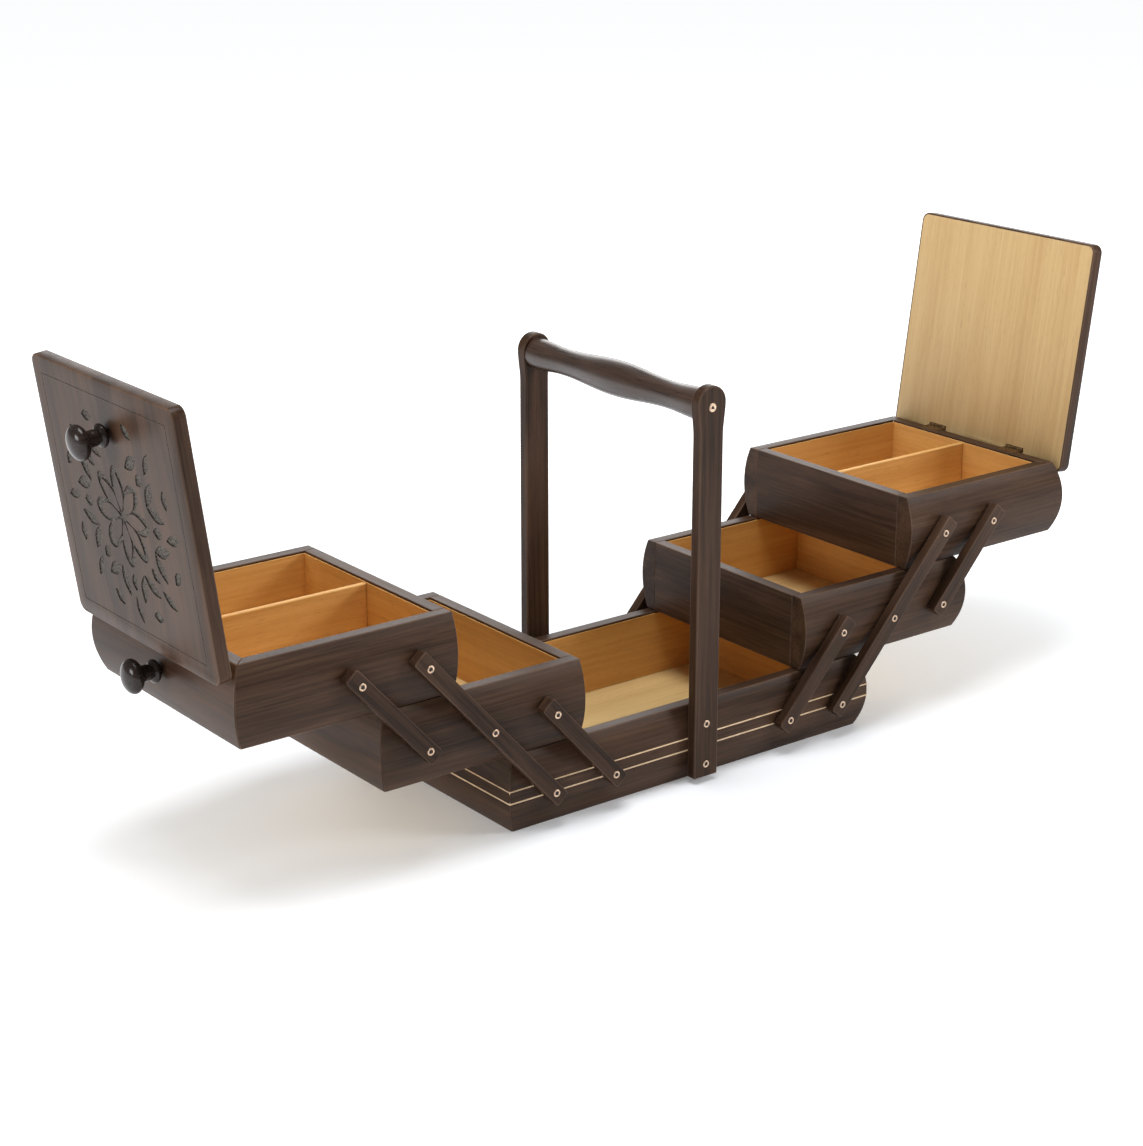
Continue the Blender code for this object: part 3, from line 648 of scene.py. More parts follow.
def add_tray(bank, name):
    start, end, z, _ = WELLS[name]
    middle = (start + end) / 2
    body = f"{bank}_{name}_tray"
    for sign in (1, -1):
        label = side_of(bank, sign)
        place = facing((sign, 0, 0), (0, sign, 0), (middle, sign * RIM_Y, z))
        mitres = (0.0, 1.0) if sign > 0 else (1.0, 0.0)
        wall(f"{body}_{label}_board", bank, body, end - start, place, mitres, [f"{body}_{label}_wall"])
    outer_place = facing((0, -1, 0), (1, 0, 0), (end, 0, z))
    outer = board_mesh(2 * RIM_Y - 2 * MITRE_GAP, TIER_HEIGHT, WALL, WALNUT, SWELL, (1.0, 1.0))
    if name == "upper":
        outer = cut_with(outer, rim_mortises(end, TIER_HEIGHT))
    finish(f"{body}_outer_board", outer, BANKS[bank] @ outer_place, WALNUT, body,
           [f"{body}_outer_end"])
    inner = board_mesh(2 * (RIM_Y - WALL) - 2 * MITRE_GAP, TIER_HEIGHT, WALL, WALNUT)
    inner_place = facing((0, 1, 0), (-1, 0, 0), (start, 0, z))
    finish(f"{body}_inner_board", inner, BANKS[bank] @ inner_place, WALNUT, body,
           [f"{body}_inner_end"])


add_base()
for bank in BANKS:
    add_tray(bank, "lower")
    add_tray(bank, "upper")
print(len(made_pieces), "boards of the base and trays")

# %% [markdown]
# ## Pine inside
#
# The wells are lined with thin pine, which stops a little below the dark rim, so a fine shadow line
# runs round each well. The bottom boards and the dividers of the upper trays are pine too. The lining
# boards are real boards, butted at the corners, since that is what the eye looks for there.

# %% Linings, bottoms and dividers
LINING = 0.0008                     # thickness of the boards
LINING_DROP = 0.0020                # how far below the rim they stop
LINING_GAP = 0.0001
PINE_EDGE, BOTTOM_EDGE, DIVIDER_EDGE = 0.0003, 0.0004, 0.0014


def pine_board(name, body, length, height, thickness, place, nodes=(), edge=PINE_EDGE, material=PINE):
    mesh = board_mesh(length, height, thickness, material, edge=edge)
    return finish(name, mesh, place, material, body, nodes)


def line_well(prefix, body, turn, sizes):
    """Four lining boards against the walls. The short ones stand between the long ones."""
    start, end, z, floor_top = sizes
    inner_start, inner_end = start + WALL, end - WALL
    inner_y = RIM_Y - WALL
    bottom = floor_top + LINING_GAP
    height = z + TIER_HEIGHT - LINING_DROP - bottom
    middle = (inner_start + inner_end) / 2
    long, short = inner_end - inner_start - 2 * LINING_GAP, 2 * (inner_y - LINING - 2 * LINING_GAP)
    for sign, letter in ((1, "a"), (-1, "b")):
        place = facing((-sign, 0, 0), (0, -sign, 0), (middle, sign * (inner_y - LINING_GAP - LINING), bottom))
        pine_board(f"{prefix}_lining_{letter}", body, long, height, LINING, turn @ place)
    for sign, letter, x in ((1, "c", inner_end), (-1, "d", inner_start)):
        place = facing((0, sign, 0), (-sign, 0, 0), (x - sign * (LINING_GAP + LINING), 0, bottom))
        pine_board(f"{prefix}_lining_{letter}", body, short, height, LINING, turn @ place)


def add_bottom(name, body, node_name):
    """The bottom board, drawn on edge with its show face up."""
    low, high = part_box(node_name)
    centre = (low + high) / 2
    place = facing((1, 0, 0), (0, 0, 1), (centre.x, high.y, high.z))
    # the bottom board takes the paler pine copy: painted light on a board that faces up
    pine_board(name, body, high.x - low.x, high.y - low.y, high.z - low.z, place, [node_name],
               edge=BOTTOM_EDGE, material=LIT_FLOOR_PINE)


def add_divider(bank):
    node_name = f"{bank}_upper_tray_divider"
    low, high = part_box(node_name)
    place = facing((1, 0, 0), (0, 1, 0), ((low.x + high.x) / 2, high.y, low.z))
    mesh = board_mesh(high.x - low.x - 2 * LINING, high.z - low.z, high.y - low.y, PINE, edge=DIVIDER_EDGE)
    finish(f"{bank}_divider_board", mesh, place, PINE, f"{bank}_upper_tray", [node_name])


line_well("base", "base", BANKS["right"], WELLS["base"])
add_bottom("base_bottom_board", "base", "base_bottom")
for bank, turn in BANKS.items():
    for name in ("lower", "upper"):
        body = f"{bank}_{name}_tray"
        line_well(body, body, turn, WELLS[name])
        add_bottom(f"{body}_bottom_board", body, f"{body}_bottom")
    add_divider(bank)
print(len(made_pieces), "pieces so far")

# %% [markdown]
# ## Inlay lines
#
# Two pale lines are let into the base and run right round it. A line of constant section along a path
# is what Curve to Mesh does in Geometry Nodes: a rectangle is the path, a small rectangle the section,
# and the corners come out mitred.

# %% Inlay tree and lines
INLAY_INPUTS = (("Path Length", 0.4), ("Path Width", 0.2), ("Level", 0.03), ("Strip Height", 0.0016),
                ("Strip Depth", 0.001), ("Lean", 0.0), ("Finish", None))
INLAY_LEVELS = (0.0310, 0.0410)
INLAY_HEIGHT = 0.0024
INLAY_DEPTH = 0.0010
INLAY_PROUD = 0.00015


def make_inlay_tree():
    tree, sizes = new_tree("inlay_line", INLAY_INPUTS)
    path = node(tree, "GeometryNodeCurvePrimitiveQuadrilateral", {"Width": sizes["Path Length"],
                                                                  "Height": sizes["Path Width"]})
    section = node(tree, "GeometryNodeCurvePrimitiveQuadrilateral", {"Width": sizes["Strip Depth"],
                                                                     "Height": sizes["Strip Height"]})
    turn = node(tree, "ShaderNodeCombineXYZ", {"Z": sizes["Lean"]})
    leaning = node(tree, "GeometryNodeTransform", {"Geometry": section.outputs[0],
                                                   "Rotation": turn.outputs[0]})
    strip = node(tree, "GeometryNodeCurveToMesh", {"Curve": path.outputs[0],
                                                   "Profile Curve": leaning.outputs[0]})
    lift = node(tree, "ShaderNodeCombineXYZ", {"Z": sizes["Level"]})
    lifted = node(tree, "GeometryNodeTransform", {"Geometry": strip.outputs[0],
                                                  "Translation": lift.outputs[0]})
    return close_tree(tree, lifted.outputs[0], sizes["Finish"])


def swell_at(level):
    """How far a wall stands out at a height above its underside, and how steeply it leans there."""
    half = TIER_HEIGHT / 2
    radius = (half ** 2 + SWELL ** 2) / (2 * SWELL)
    rise = level - half
    return math.sqrt(radius ** 2 - rise ** 2) - (radius - SWELL), math.asin(rise / radius)


INLAY_TREE = make_inlay_tree()
start, end, _, _ = WELLS["base"]
for number, level in enumerate(INLAY_LEVELS, 1):
    out, lean = swell_at(level)
    out += INLAY_PROUD - INLAY_DEPTH / 2
    values = {"Path Length": end - start + 2 * out, "Path Width": 2 * (RIM_Y + out), "Level": level,
              "Strip Height": INLAY_HEIGHT, "Strip Depth": INLAY_DEPTH, "Lean": lean, "Finish": INLAY}
    strip = evaluated(run_tree(drawn(bpy.data.meshes.new("strip")), INLAY_TREE, values))
    finish(f"base_inlay_line_{number}", strip, Matrix.Identity(4), INLAY, "base")
print(len(INLAY_LEVELS), "inlay lines at", INLAY_LEVELS)

# %% [markdown]
# ## Carrying handle
#
# Two flat posts stand against the base, each with a round head, and a turned grip joins the heads. A
# post is a flat outline with thickness, which a filled 2D curve gives. The grip is a turned profile:
# full at the ends, waisted, and swelling where the hand closes round it.


# %% Outlines and turned shapes
WELD = 0.000002                     # points closer than this are one point
TURNED_WELD = 0.000005
TURNED_SHARP = math.radians(50)     # a turned edge sharper than this shows as a line


def outline_mesh(loops, thickness):
    """Closed loops of (x, y) filled and extruded by half the thickness to each side of z = 0."""
    curve = bpy.data.curves.new("outline", "CURVE")
    curve.dimensions = "2D"
    curve.fill_mode = "BOTH"
    curve.extrude = thickness / 2
    for loop in loops:
        spline = curve.splines.new("POLY")
        spline.points.add(len(loop) - 1)
        for point, (x, y) in zip(spline.points, loop):
            point.co = (x, y, 0.0, 1.0)
        spline.use_cyclic_u = True
    bm = bmesh.new()
    bm.from_mesh(evaluated(drawn(curve)))
    bmesh.ops.remove_doubles(bm, verts=bm.verts, dist=WELD)
    bmesh.ops.dissolve_limit(bm, angle_limit=0.001, verts=bm.verts, edges=bm.edges)
    bmesh.ops.recalc_face_normals(bm, faces=bm.faces)
    return mesh_from(bm, "outline")


def rounded_rectangle(x_low, y_low, x_high, y_high, radius, step=9):
    corners = ((x_high - radius, y_low + radius, -90), (x_high - radius, y_high - radius, 0),
               (x_low + radius, y_high - radius, 90), (x_low + radius, y_low + radius, 180))
    loop = []
    for centre_x, centre_y, start_degrees in corners:
        for degrees in range(start_degrees, start_degrees + 91, step):
            angle = math.radians(degrees)
            loop.append((centre_x + radius * math.cos(angle), centre_y + radius * math.sin(angle)))
    return loop


def turned_mesh(profile, segments):
    """(radius, z) pairs from the top down, turned round Z. Ends on the axis are closed to a point."""
    bm = bmesh.new()
    verts = [bm.verts.new((radius, 0.0, z)) for radius, z in profile]
    edges = [bm.edges.new(pair) for pair in zip(verts, verts[1:])]
    bmesh.ops.spin(bm, geom=verts + edges, axis=(0, 0, 1), cent=(0, 0, 0), angle=math.tau, steps=segments,
                   use_merge=True)
    bmesh.ops.remove_doubles(bm, verts=bm.verts, dist=TURNED_WELD)
    bmesh.ops.recalc_face_normals(bm, faces=bm.faces)
    for face in bm.faces:
        face.smooth = True
    mesh = mesh_from(bm, "turned")
    mesh.set_sharp_from_angle(angle=TURNED_SHARP)
    return mesh


def arc(radius, half_depth, centre, start, end, steps):
    """Points on an ellipse between two angles in degrees."""
    angles = [math.radians(start + (end - start) * step / steps) for step in range(steps + 1)]
    return [(radius * math.cos(a), centre + half_depth * math.sin(a)) for a in angles]


print("a turned test piece has", len(turned_mesh([(0, 1), (1, 1), (1, 0), (0, 0)], 16).vertices), "points")

# %% Posts and grip
POST_EDGE = 0.0014
post_low, post_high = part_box("handle_back_upright")
GRIP_END_RADIUS = 0.0143
GRIP_WAIST_RADIUS = 0.0123
GRIP_MIDDLE_RADIUS = 0.0162
GRIP_WAIST_Y = 0.0740
POST_FOOT_HALF = 0.0134
POST_NECK_HALF = 0.0130
POST_NECK_DROP = 0.0290
POST_NECK_STEPS = 14
POST_CROWN = (6, 174)               # degrees, the round head between its two shoulders
GRIP_GAP = 0.0001                   # between the grip and a post
GRIP_RINGS, GRIP_SIDES = 72, 56


def smooth_step(share):
    return share * share * (3 - 2 * share)


def post_outline():
    """Narrowing slightly to the neck, then swelling into the round head."""
    head = (post_high.x - post_low.x) / 2
    centre = post_high.z - head
    neck = centre - POST_NECK_DROP
    right = [(POST_FOOT_HALF, post_low.z), (POST_NECK_HALF, neck)]
    for step in range(1, POST_NECK_STEPS + 1):
        share = step / POST_NECK_STEPS
        half = POST_NECK_HALF + (head - POST_NECK_HALF) * smooth_step(share)
        right.append((half, neck + POST_NECK_DROP * share))
    crown = arc(head, head, centre, *POST_CROWN, 28)
    return right + crown + [(-x, z) for x, z in reversed(right)]


def grip_radius(y):
    distance, half = abs(y), post_low.y - GRIP_GAP
    if distance < GRIP_WAIST_Y:
        share = (1 + math.cos(math.pi * distance / GRIP_WAIST_Y)) / 2
        return GRIP_WAIST_RADIUS + (GRIP_MIDDLE_RADIUS - GRIP_WAIST_RADIUS) * share
    share = (1 - math.cos(math.pi * (distance - GRIP_WAIST_Y) / (half - GRIP_WAIST_Y))) / 2
    return GRIP_WAIST_RADIUS + (GRIP_END_RADIUS - GRIP_WAIST_RADIUS) * share


def add_handle():
    thickness = post_high.y - post_low.y
    for sign, label in ((1, "back"), (-1, "front")):
        mesh = eased(outline_mesh([post_outline()], thickness), POST_EDGE)
        place = facing((1, 0, 0), (0, 0, 1), (0, sign * (post_low.y + post_high.y) / 2, 0))
        finish(f"handle_{label}_post", mesh, place, WALNUT, "base", [f"handle_{label}_upright"],
               grain=(1, 0, 2))
    low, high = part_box("handle_grip")
    half = high.y
    heights = [half * (1 - 2 * ring / GRIP_RINGS) for ring in range(GRIP_RINGS + 1)]
    profile = [(0.0, half)] + [(grip_radius(height), height) for height in heights] + [(0.0, -half)]
    place = facing((1, 0, 0), (0, 0, 1), (0, 0, (low.z + high.z) / 2))
    finish("handle_turned_grip", turned_mesh(profile, GRIP_SIDES), place, HELD_WALNUT, "base",
           ["handle_grip"], grain=(2, 0, 1))


add_handle()
print("posts", round(post_high.z - post_low.z, 3), "tall, grip", round(2 * post_low.y, 3), "long")

# %% [markdown]
# ## Arms
#
# Each bank hangs on straight bars: on each long side a short one from the base to the lower tray, a
# long one through all three tiers, and a short one from the lower tray to the upper. The pivots come
# from the joints, so a bar is an outline whose X axis runs up from its first pivot. Its corners are
# slightly rounded and its arrises eased, so that nothing catches a sleeve or a thread.

# %% Arms
ARM_EDGE = 0.0011
ARM_CORNER = 0.0024
STEP = joint_places["right_lower_tray_level"] - joint_places["right_fold"]
ARMS = {"long": ("right_fold", 2), "short_lower": ("right_short_lower_arm_swing", 1),
        "short_upper": ("right_short_upper_arm_swing", 1)}
ARM_FACE_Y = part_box("right_back_long_arm")[1].y
ARM_THICKNESS = 0.0100


def add_arm(bank, kind, sign):
    label = side_of(bank, sign)
    node_name = f"{bank}_{label}_{kind}_arm"
    first = joint_places[ARMS[kind][0]]
    place = laid(STEP, (0, sign, 0), first)
    low, high = box_in(node_name, BANKS[bank] @ place)
    mesh = outline_mesh([rounded_rectangle(low.x, low.y, high.x, high.y, ARM_CORNER, step=15)], ARM_THICKNESS)
    mesh = eased(mesh, ARM_EDGE)
    mesh.transform(raised(ARM_FACE_Y - ARM_THICKNESS / 2))
    finish(f"{bank}_{label}_{kind}_bar", mesh, BANKS[bank] @ place, WALNUT, f"{bank}_{kind}_arms",
           [node_name])


for bank in BANKS:
    for kind in ARMS:
        for sign in (1, -1):
            add_arm(bank, kind, sign)
print("arm faces at", round(ARM_FACE_Y, 4), "with", len(made_pieces), "pieces so far")

# %% [markdown]
# ## Knobs
#
# Four turned knobs: one on each lid and one on each upper tray's outer end. Each is a flattened ball on
# a waisted neck, with a rounded collar against the wood.

# %% Knobs
KNOB_HEAD_RADIUS, KNOB_HEAD_HALF = 0.0145, 0.0079
KNOB_COLLAR_RADIUS, KNOB_COLLAR_HALF = 0.0098, 0.0050
KNOB_NECK_RADIUS, KNOB_LENGTH = 0.0068, 0.0320
KNOB_NECK_STEPS, KNOB_SIDES = 12, 56


def knob_profile():
    head = arc(KNOB_HEAD_RADIUS, KNOB_HEAD_HALF, KNOB_LENGTH - KNOB_HEAD_HALF, 90, -56, 28)
    collar = arc(KNOB_COLLAR_RADIUS, KNOB_COLLAR_HALF, KNOB_COLLAR_HALF, 50, -70, 18)
    neck_top, neck_bottom = Vector(head[-1]), Vector(collar[0])
    neck = []
    for step in range(1, KNOB_NECK_STEPS):
        share = step / KNOB_NECK_STEPS
        point = neck_top.lerp(neck_bottom, share)
        point.x -= (point.x - KNOB_NECK_RADIUS) * math.sin(math.pi * share) ** 0.8
        neck.append((point.x, point.y))
    return [(0.0, KNOB_LENGTH)] + head[1:] + neck + collar + [(collar[-1][0], 0.0), (0.0, 0.0)]


def add_knobs(bank, turn):
    end_low, end_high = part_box("right_end_knob")
    end_place = facing((0, 1, 0), (0, 0, 1), (end_low.x, 0, (end_low.z + end_high.z) / 2))
    low, high = box_in("right_lid_knob", LID_PLACE)
    lid_place = LID_PLACE @ Matrix.Translation(((low.x + high.x) / 2, 0, low.z))
    for spot, place, body in (("end", end_place, "upper_tray"), ("lid", lid_place, "lid")):
        finish(f"{bank}_{spot}_turned_knob", turned_mesh(knob_profile(), KNOB_SIDES), turn @ place,
               BLACK_POLISH_AND_HOLE_SHADE, f"{bank}_{body}", [f"{bank}_{spot}_knob"], grain=(2, 0, 1))


for bank, turn in BANKS.items():
    add_knobs(bank, turn)
print("knob profile has", len(knob_profile()), "points")

# %% [markdown]
# ## Lids
#
# A lid is a dark panel with rounded corners and a thin pine board inside. Its outer face is carved: a
# thin incised line follows the edge, and a rosette of plain petals stands in a sunk, punched ground
# with a wreath of leaves round it. Sinking the ground and leaving the petals is how relief is carved, so
# the shapes are cut out of the panel with a Boolean and the sunk faces take the punched finish.


# %% Carved shapes
PETALS = 8
BETWEEN = math.pi / PETALS          # from the middle of a petal to the gap beside it


def leaf_loop(centre_x, centre_y, angle, length, width, points=11):
    """A pointed leaf: two full arcs between two tips."""
    upper = []
    for step in range(points + 1):
        share = step / points
        upper.append(((share - 0.5) * length, width / 2 * math.sin(math.pi * share) ** 0.95))
    loop = upper + [(x, -y) for x, y in reversed(upper[1:-1])]
    cosine, sine = math.cos(angle), math.sin(angle)
    return [(centre_x + x * cosine - y * sine, centre_y + x * sine + y * cosine) for x, y in loop]


def ring_of_leaves(centre, radius, first, length, width, twist):
    """One leaf for each petal, the first one turned by first, each twisted from pointing outwards."""
    loops = []
    for number in range(PETALS):
        angle = first + math.tau * number / PETALS
        x, y = centre[0] + radius * math.cos(angle), centre[1] + radius * math.sin(angle)
        loops.append(leaf_loop(x, y, angle + twist, length, width))
    return loops


def rosette_loop(centre, low, high, points=160):
    """The sunk ground round the rosette, scalloped with one lobe for each petal."""
    loop = []
    for step in range(points):
        angle = math.tau * step / points
        radius = low + (high - low) * abs(math.cos(PETALS * angle / 2)) ** 0.9
        loop.append((centre[0] + radius * math.cos(angle), centre[1] + radius * math.sin(angle)))
    return loop


print("a leaf has", len(leaf_loop(0, 0, 0, 1, 0.3)), "points")

# %% Carved lid panels
LID_CORNER = 0.0085
PANEL_EDGE = 0.0013
BORDER_INSET, BORDER_LINE, BORDER_CORNER = 0.0142, 0.0006, 0.0010
CARVING_DEPTH, BORDER_DEPTH = 0.0012, 0.0004
KNOB_CLEAR = 0.0125                 # no carving closer to the knob's centre than this
panel_low, panel_high = box_in("right_lid_panel", LID_PLACE)
knob_low, knob_high = box_in("right_lid_knob", LID_PLACE)
KNOB_X = (knob_low.x + knob_high.x) / 2
CUTTER_SPARE = 0.0030               # how far a cutter stands clear of the panel
PLANE_LEVEL = 0.9998                # a normal this close to an axis belongs to a large plane face
CUT_SHARP = math.radians(40)
PETAL_RING = (0.0205, 0.0, 0.0325, 0.0128, 0.0)     # radius, turn, length, width, twist
GROUND_RADII = (0.0245, 0.0430)
LEAF_RINGS = ((0.0600, BETWEEN - 0.140, 0.0270, 0.0110, -0.50),
              (0.0600, BETWEEN + 0.140, 0.0270, 0.0110, 0.50),
              (0.0560, 0.0, 0.0150, 0.0096, 0.0), (0.0800, 0.0, 0.0230, 0.0088, 0.25),
              (0.0835, BETWEEN, 0.0170, 0.0092, 1.25))


def carving_loops():
    """Petals stand inside the scalloped ground, with pairs of leaves and single leaves sunk round it."""
    centre = ((panel_low.x + panel_high.x) / 2, 0.0)
    petals = ring_of_leaves(centre, *PETAL_RING)
    ground = rosette_loop(centre, *GROUND_RADII)
    leaves = [leaf for ring in LEAF_RINGS for leaf in ring_of_leaves(centre, *ring)]
    clear = [loop for loop in leaves if min(math.dist(point, (KNOB_X, 0.0)) for point in loop) > KNOB_CLEAR]
    return [[ground] + petals] + [[loop] for loop in clear]


def merged(meshes):
    bm = bmesh.new()
    for mesh in meshes:
        bm.from_mesh(mesh)
    return mesh_from(bm, "merged")


def sunk_cutter(groups, depth):
    """Prisms that reach depth into the panel's outer face and stand clear above it."""
    cutter = merged([outline_mesh(loops, 2 * depth) for loops in groups])
    cutter.transform(raised(panel_high.z))
    cutter.materials.append(CARVED_GROUND)
    return cutter


def leaf_mortises():
    """Boxes that let the hinge leaves and barrels into the panel's inner face."""
    boxes = []
    for side in ("front", "back"):
        low, high = box_in(f"right_{side}_hinge_lid_leaf", LID_PLACE)
        boxes.append(((low.x - MORTISE_CLEARANCE, low.y - MORTISE_CLEARANCE, panel_low.z - CUTTER_SPARE),
                      (high.x + MORTISE_CLEARANCE, high.y + MORTISE_CLEARANCE, high.z + MORTISE_CLEARANCE)))
    return boxes_mesh(boxes)


def lining_recess():
    """The shallow recess for the pine lining, as a prism that stands clear below the panel."""
    low, high = box_in("right_lid_lining", LID_PLACE)
    gap = LINING_GAP
    outline = rounded_rectangle(low.x - gap, low.y - gap, high.x + gap, high.y + gap,
                                LID_CORNER - (low.x - panel_low.x) + gap)
    recess = outline_mesh([outline], 2 * (high.z + gap - panel_low.z))
    recess.transform(raised(panel_low.z))
    return recess


def settle_shading(mesh):
    """Flat shading on the large plane faces, smooth on the eased edges, and sharp arrises in the cuts."""
    for polygon in mesh.polygons:
        polygon.use_smooth = max(abs(value) for value in polygon.normal) < PLANE_LEVEL
    mesh.set_sharp_from_angle(angle=CUT_SHARP)
    return mesh


def carved_panel():
    low, high = panel_low, panel_high
    blank = outline_mesh([rounded_rectangle(low.x, low.y, high.x, high.y, LID_CORNER)], high.z - low.z)
    blank.transform(raised((low.z + high.z) / 2))
    panel = cut_with(cut_with(eased(blank, PANEL_EDGE, hardened=False), lining_recess()), leaf_mortises())
    panel.materials.clear()
    panel.materials.append(WALNUT)
    border = [rounded_rectangle(low.x + inset, low.y + inset, high.x - inset, high.y - inset, BORDER_CORNER,
                                step=30) for inset in (BORDER_INSET, BORDER_INSET + BORDER_LINE)]
    panel = cut_with(panel, sunk_cutter([border], BORDER_DEPTH), "TRANSFER")
    panel = cut_with(panel, sunk_cutter(carving_loops(), CARVING_DEPTH), "TRANSFER")
    return settle_shading(panel)


for bank, turn in BANKS.items():
    panel = carved_panel()
    finish(f"{bank}_lid_carved_panel", panel, turn @ LID_PLACE, None, f"{bank}_lid",
           [f"{bank}_lid_panel"])
print("carved with", sum(len(group) for group in carving_loops()), "loops,", len(panel.polygons), "faces")

# %% [markdown]
# The pine lining inside each lid is the measured board with its hinge notches. A copy of it is cleaned
# of its triangles, so that its edges can be eased.

# %% Lid linings
LINING_EDGE = 0.0003


def cleaned_copy(node_name, place):
    """A measured node's shape in its own drawing coordinates, with flat faces whole again."""
    bm = bmesh.new()
    bm.from_mesh(frame["nodes"][node_name].data)
    bmesh.ops.remove_doubles(bm, verts=bm.verts, dist=WELD)
    bmesh.ops.transform(bm, matrix=place.inverted(), verts=bm.verts)
    bmesh.ops.dissolve_limit(bm, angle_limit=0.01, verts=bm.verts, edges=bm.edges)
    mesh = mesh_from(bm, "cleaned")
    for layer in list(mesh.uv_layers):
        mesh.uv_layers.remove(layer)
    return mesh


for bank, turn in BANKS.items():
    place = turn @ LID_PLACE
    board = cleaned_copy(f"{bank}_lid_lining", place)
    lining = settle_shading(eased(board, LINING_EDGE, segments=2, hardened=False))
    finish(f"{bank}_lid_lining_board", lining, place, LID_PINE, f"{bank}_lid", [f"{bank}_lid_lining"])
print("lid linings with", len(lining.polygons), "faces")

# %% [markdown]
# ## Rivets, hinge leaves and screws
#
# The same small pieces sit at every pivot, so they are drawn once and set out by Geometry Nodes: one
# tree puts a fastener on each point, turned to the point's outward direction. A rivet is a rolled
# copper ring round a black plug, painted shade that stands for its dark hole. The brass hinge leaves
# are the measured ones, with screws added.

# %% The fastener tree
FASTENER_INPUTS = (("Fastener", Ellipsis), ("Finish", None))


def make_fastener_tree():
    tree, sizes = new_tree("fasteners_on_points", FASTENER_INPUTS, takes_geometry=True)
    source = node(tree, "GeometryNodeObjectInfo", {"Object": sizes["Fastener"]})
    outward = node(tree, "GeometryNodeInputNamedAttribute", {"Name": "outward"}, data_type="FLOAT_VECTOR")
    turn = node(tree, "FunctionNodeAlignRotationToVector", {"Vector": outward.outputs["Attribute"]}, axis="Z")
    placed = node(tree, "GeometryNodeInstanceOnPoints", {"Points": sizes["Geometry"],
                                                         "Instance": source.outputs["Geometry"],
                                                         "Rotation": turn.outputs[0]})
    return close_tree(tree, placed.outputs[0], sizes["Finish"])


def points_mesh(points):
    """A mesh of bare points, each with the direction that it faces."""
    mesh = bpy.data.meshes.new("points")
    mesh.from_pydata([place for place, _ in points], [], [])
    outward = mesh.attributes.new("outward", "FLOAT_VECTOR", "POINT")
    outward.data.foreach_set("vector", [value for _, direction in points for value in direction])
    return mesh


def set_out(name, fastener_mesh, points, turn, material, body):
    """One piece for a body: the fastener at each (place, outward direction)."""
    fastener = drawn(fastener_mesh.copy())
    values = {"Fastener": fastener, "Finish": material}
    mesh = evaluated(run_tree(drawn(points_mesh(points)), FASTENER_TREE, values))
    bpy.data.objects.remove(fastener)
    return finish(name, mesh, turn, material, body)


FASTENER_TREE = make_fastener_tree()
print("fastener tree with", len(FASTENER_TREE.nodes), "nodes")

# %% Rivets
PIVOT_RIVET = (0.0034, 0.0018)      # outer radius, hole radius
GRIP_RIVET = (0.0040, 0.0014)
RIVET_PROUD, RIVET_SUNK = 0.0006, 0.0010
SHANK_DEPTH = 0.0120
# the core is a black plug: painted shade for the rivet's hole
CORE_PROUD, CORE_OVERLAP = 0.00012, 0.0001          # of the dark core in its ring
RING_SIDES, CORE_SIDES = 28, 16
POST_RIVET_LEVELS = (0.0177, 0.0562)


def rivet_ring(radius, hole):
    """A rolled ring, its inner wall going down into the arm."""
    middle, roll = (radius + hole) / 2, (radius - hole) / 2
    lip = [(middle + roll * math.cos(math.radians(a)), RIVET_PROUD * math.sin(math.radians(a)))
           for a in range(180, -1, -15)]
    loop = [(hole, -RIVET_SUNK)] + lip + [(radius, -RIVET_SUNK)]
    return turned_mesh(loop + [loop[0]], RING_SIDES)


def rivet_hole_shade_plug(hole):
    """A black plug just under the ring's crown, painted shade that stands for the rivet's dark hole, on a
    shank that reaches into the wall.
    """
    side = hole + CORE_OVERLAP
    return turned_mesh([(0.0, CORE_PROUD), (hole * 0.8, CORE_PROUD), (side, 0.0), (side, -SHANK_DEPTH),
                        (0.0, -SHANK_DEPTH)], CORE_SIDES)


def pivot_points(first, steps, face_y):
    points = []
    for step in range(steps + 1):
        centre = first + STEP * step
        for sign in (1, -1):
            points.append(((centre.x, sign * face_y, centre.z), (0.0, sign, 0.0)))
    return points


def post_points(levels):
    return [((0.0, sign * post_high.y, z), (0.0, sign, 0.0)) for sign in (1, -1) for z in levels]


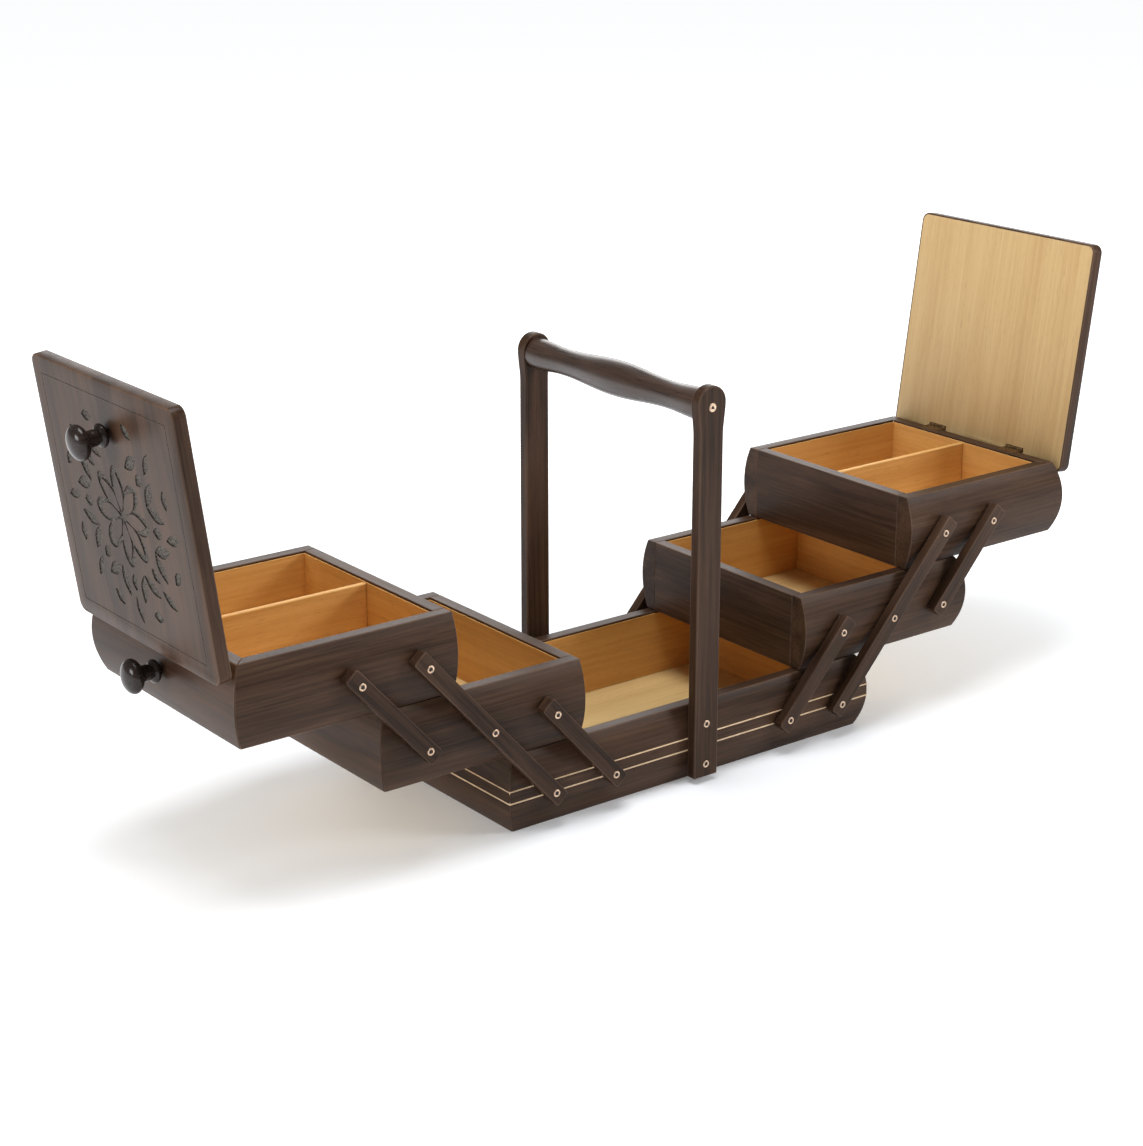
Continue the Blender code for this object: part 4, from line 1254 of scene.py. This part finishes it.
def add_rivets():
    grip_low, grip_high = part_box("handle_grip")
    grip_level = (grip_low.z + grip_high.z) / 2
    groups = [("base", "handle_foot", BANKS["right"], post_points(POST_RIVET_LEVELS), PIVOT_RIVET),
              ("base", "handle_grip", BANKS["right"], post_points([grip_level]), GRIP_RIVET)]
    for bank, turn in BANKS.items():
        for kind, (joint_name, steps) in ARMS.items():
            groups.append((f"{bank}_{kind}_arms", f"{bank}_{kind}_arm", turn,
                           pivot_points(joint_places[joint_name], steps, ARM_FACE_Y), PIVOT_RIVET))
    for body, prefix, turn, points, (radius, hole) in groups:
        set_out(f"{prefix}_rivet_rings", rivet_ring(radius, hole), points, turn, RIVET_COPPER, body)
        # black plugs: painted shade in the rivets' holes
        set_out(f"{prefix}_rivet_cores", rivet_hole_shade_plug(hole), points, turn, BLACK_POLISH_AND_HOLE_SHADE, body)
    return sum(len(group[3]) for group in groups)


print(add_rivets(), "rivets")

# %% Hinge leaves and screws
SCREW_RADIUS = 0.0013
SCREW_PROUD = 0.00022
SCREW_ROWS = (0.0062, -0.0062)
SCREW_INSET = 0.0034
SCREW_SUNK = 0.0005
SLOT_WIDTH, SLOT_DEPTH, SLOT_TURN = 0.00032, 0.0003, 0.6
LEAF_DROP = 0.00035                 # from the hinge line down to the top of a rim leaf


def screw_head():
    """A small countersunk head with a driver slot."""
    head = turned_mesh([(0.0, SCREW_PROUD), (SCREW_RADIUS * 0.7, SCREW_PROUD), (SCREW_RADIUS, 0.00005),
                        (SCREW_RADIUS * 0.9, -SCREW_SUNK), (0.0, -SCREW_SUNK)], 20)
    slot = boxes_mesh([((-2 * SCREW_RADIUS, -SLOT_WIDTH / 2, SCREW_PROUD - SLOT_DEPTH),
                        (2 * SCREW_RADIUS, SLOT_WIDTH / 2, 2 * SCREW_PROUD))])
    slot.transform(Matrix.Rotation(SLOT_TURN, 4, "Z"))
    return cut_with(head, slot)


def add_hinge_metal(bank, turn, head):
    for sign in (1, -1):
        for kind in ("tray", "lid"):
            cad_node = frame["nodes"][f"{bank}_{side_of(bank, sign)}_hinge_{kind}_leaf"]
            cad_node.data.materials.clear()
            cad_node.data.materials.append(BRASS)
    centre_y = (leaf_low.y + leaf_high.y) / 2
    rim_points = []
    for sign in (1, -1):
        for row in SCREW_ROWS:
            place = (leaf_low.x + SCREW_INSET, sign * centre_y + row, HINGE.z - LEAF_DROP)
            rim_points.append((place, (0.0, 0.0, 1.0)))
    set_out(f"{bank}_rim_hinge_screws", head, rim_points, turn, BRASS, f"{bank}_upper_tray")


head = screw_head()
for bank, turn in BANKS.items():
    add_hinge_metal(bank, turn, head)
print(len(made_pieces), "pieces in all")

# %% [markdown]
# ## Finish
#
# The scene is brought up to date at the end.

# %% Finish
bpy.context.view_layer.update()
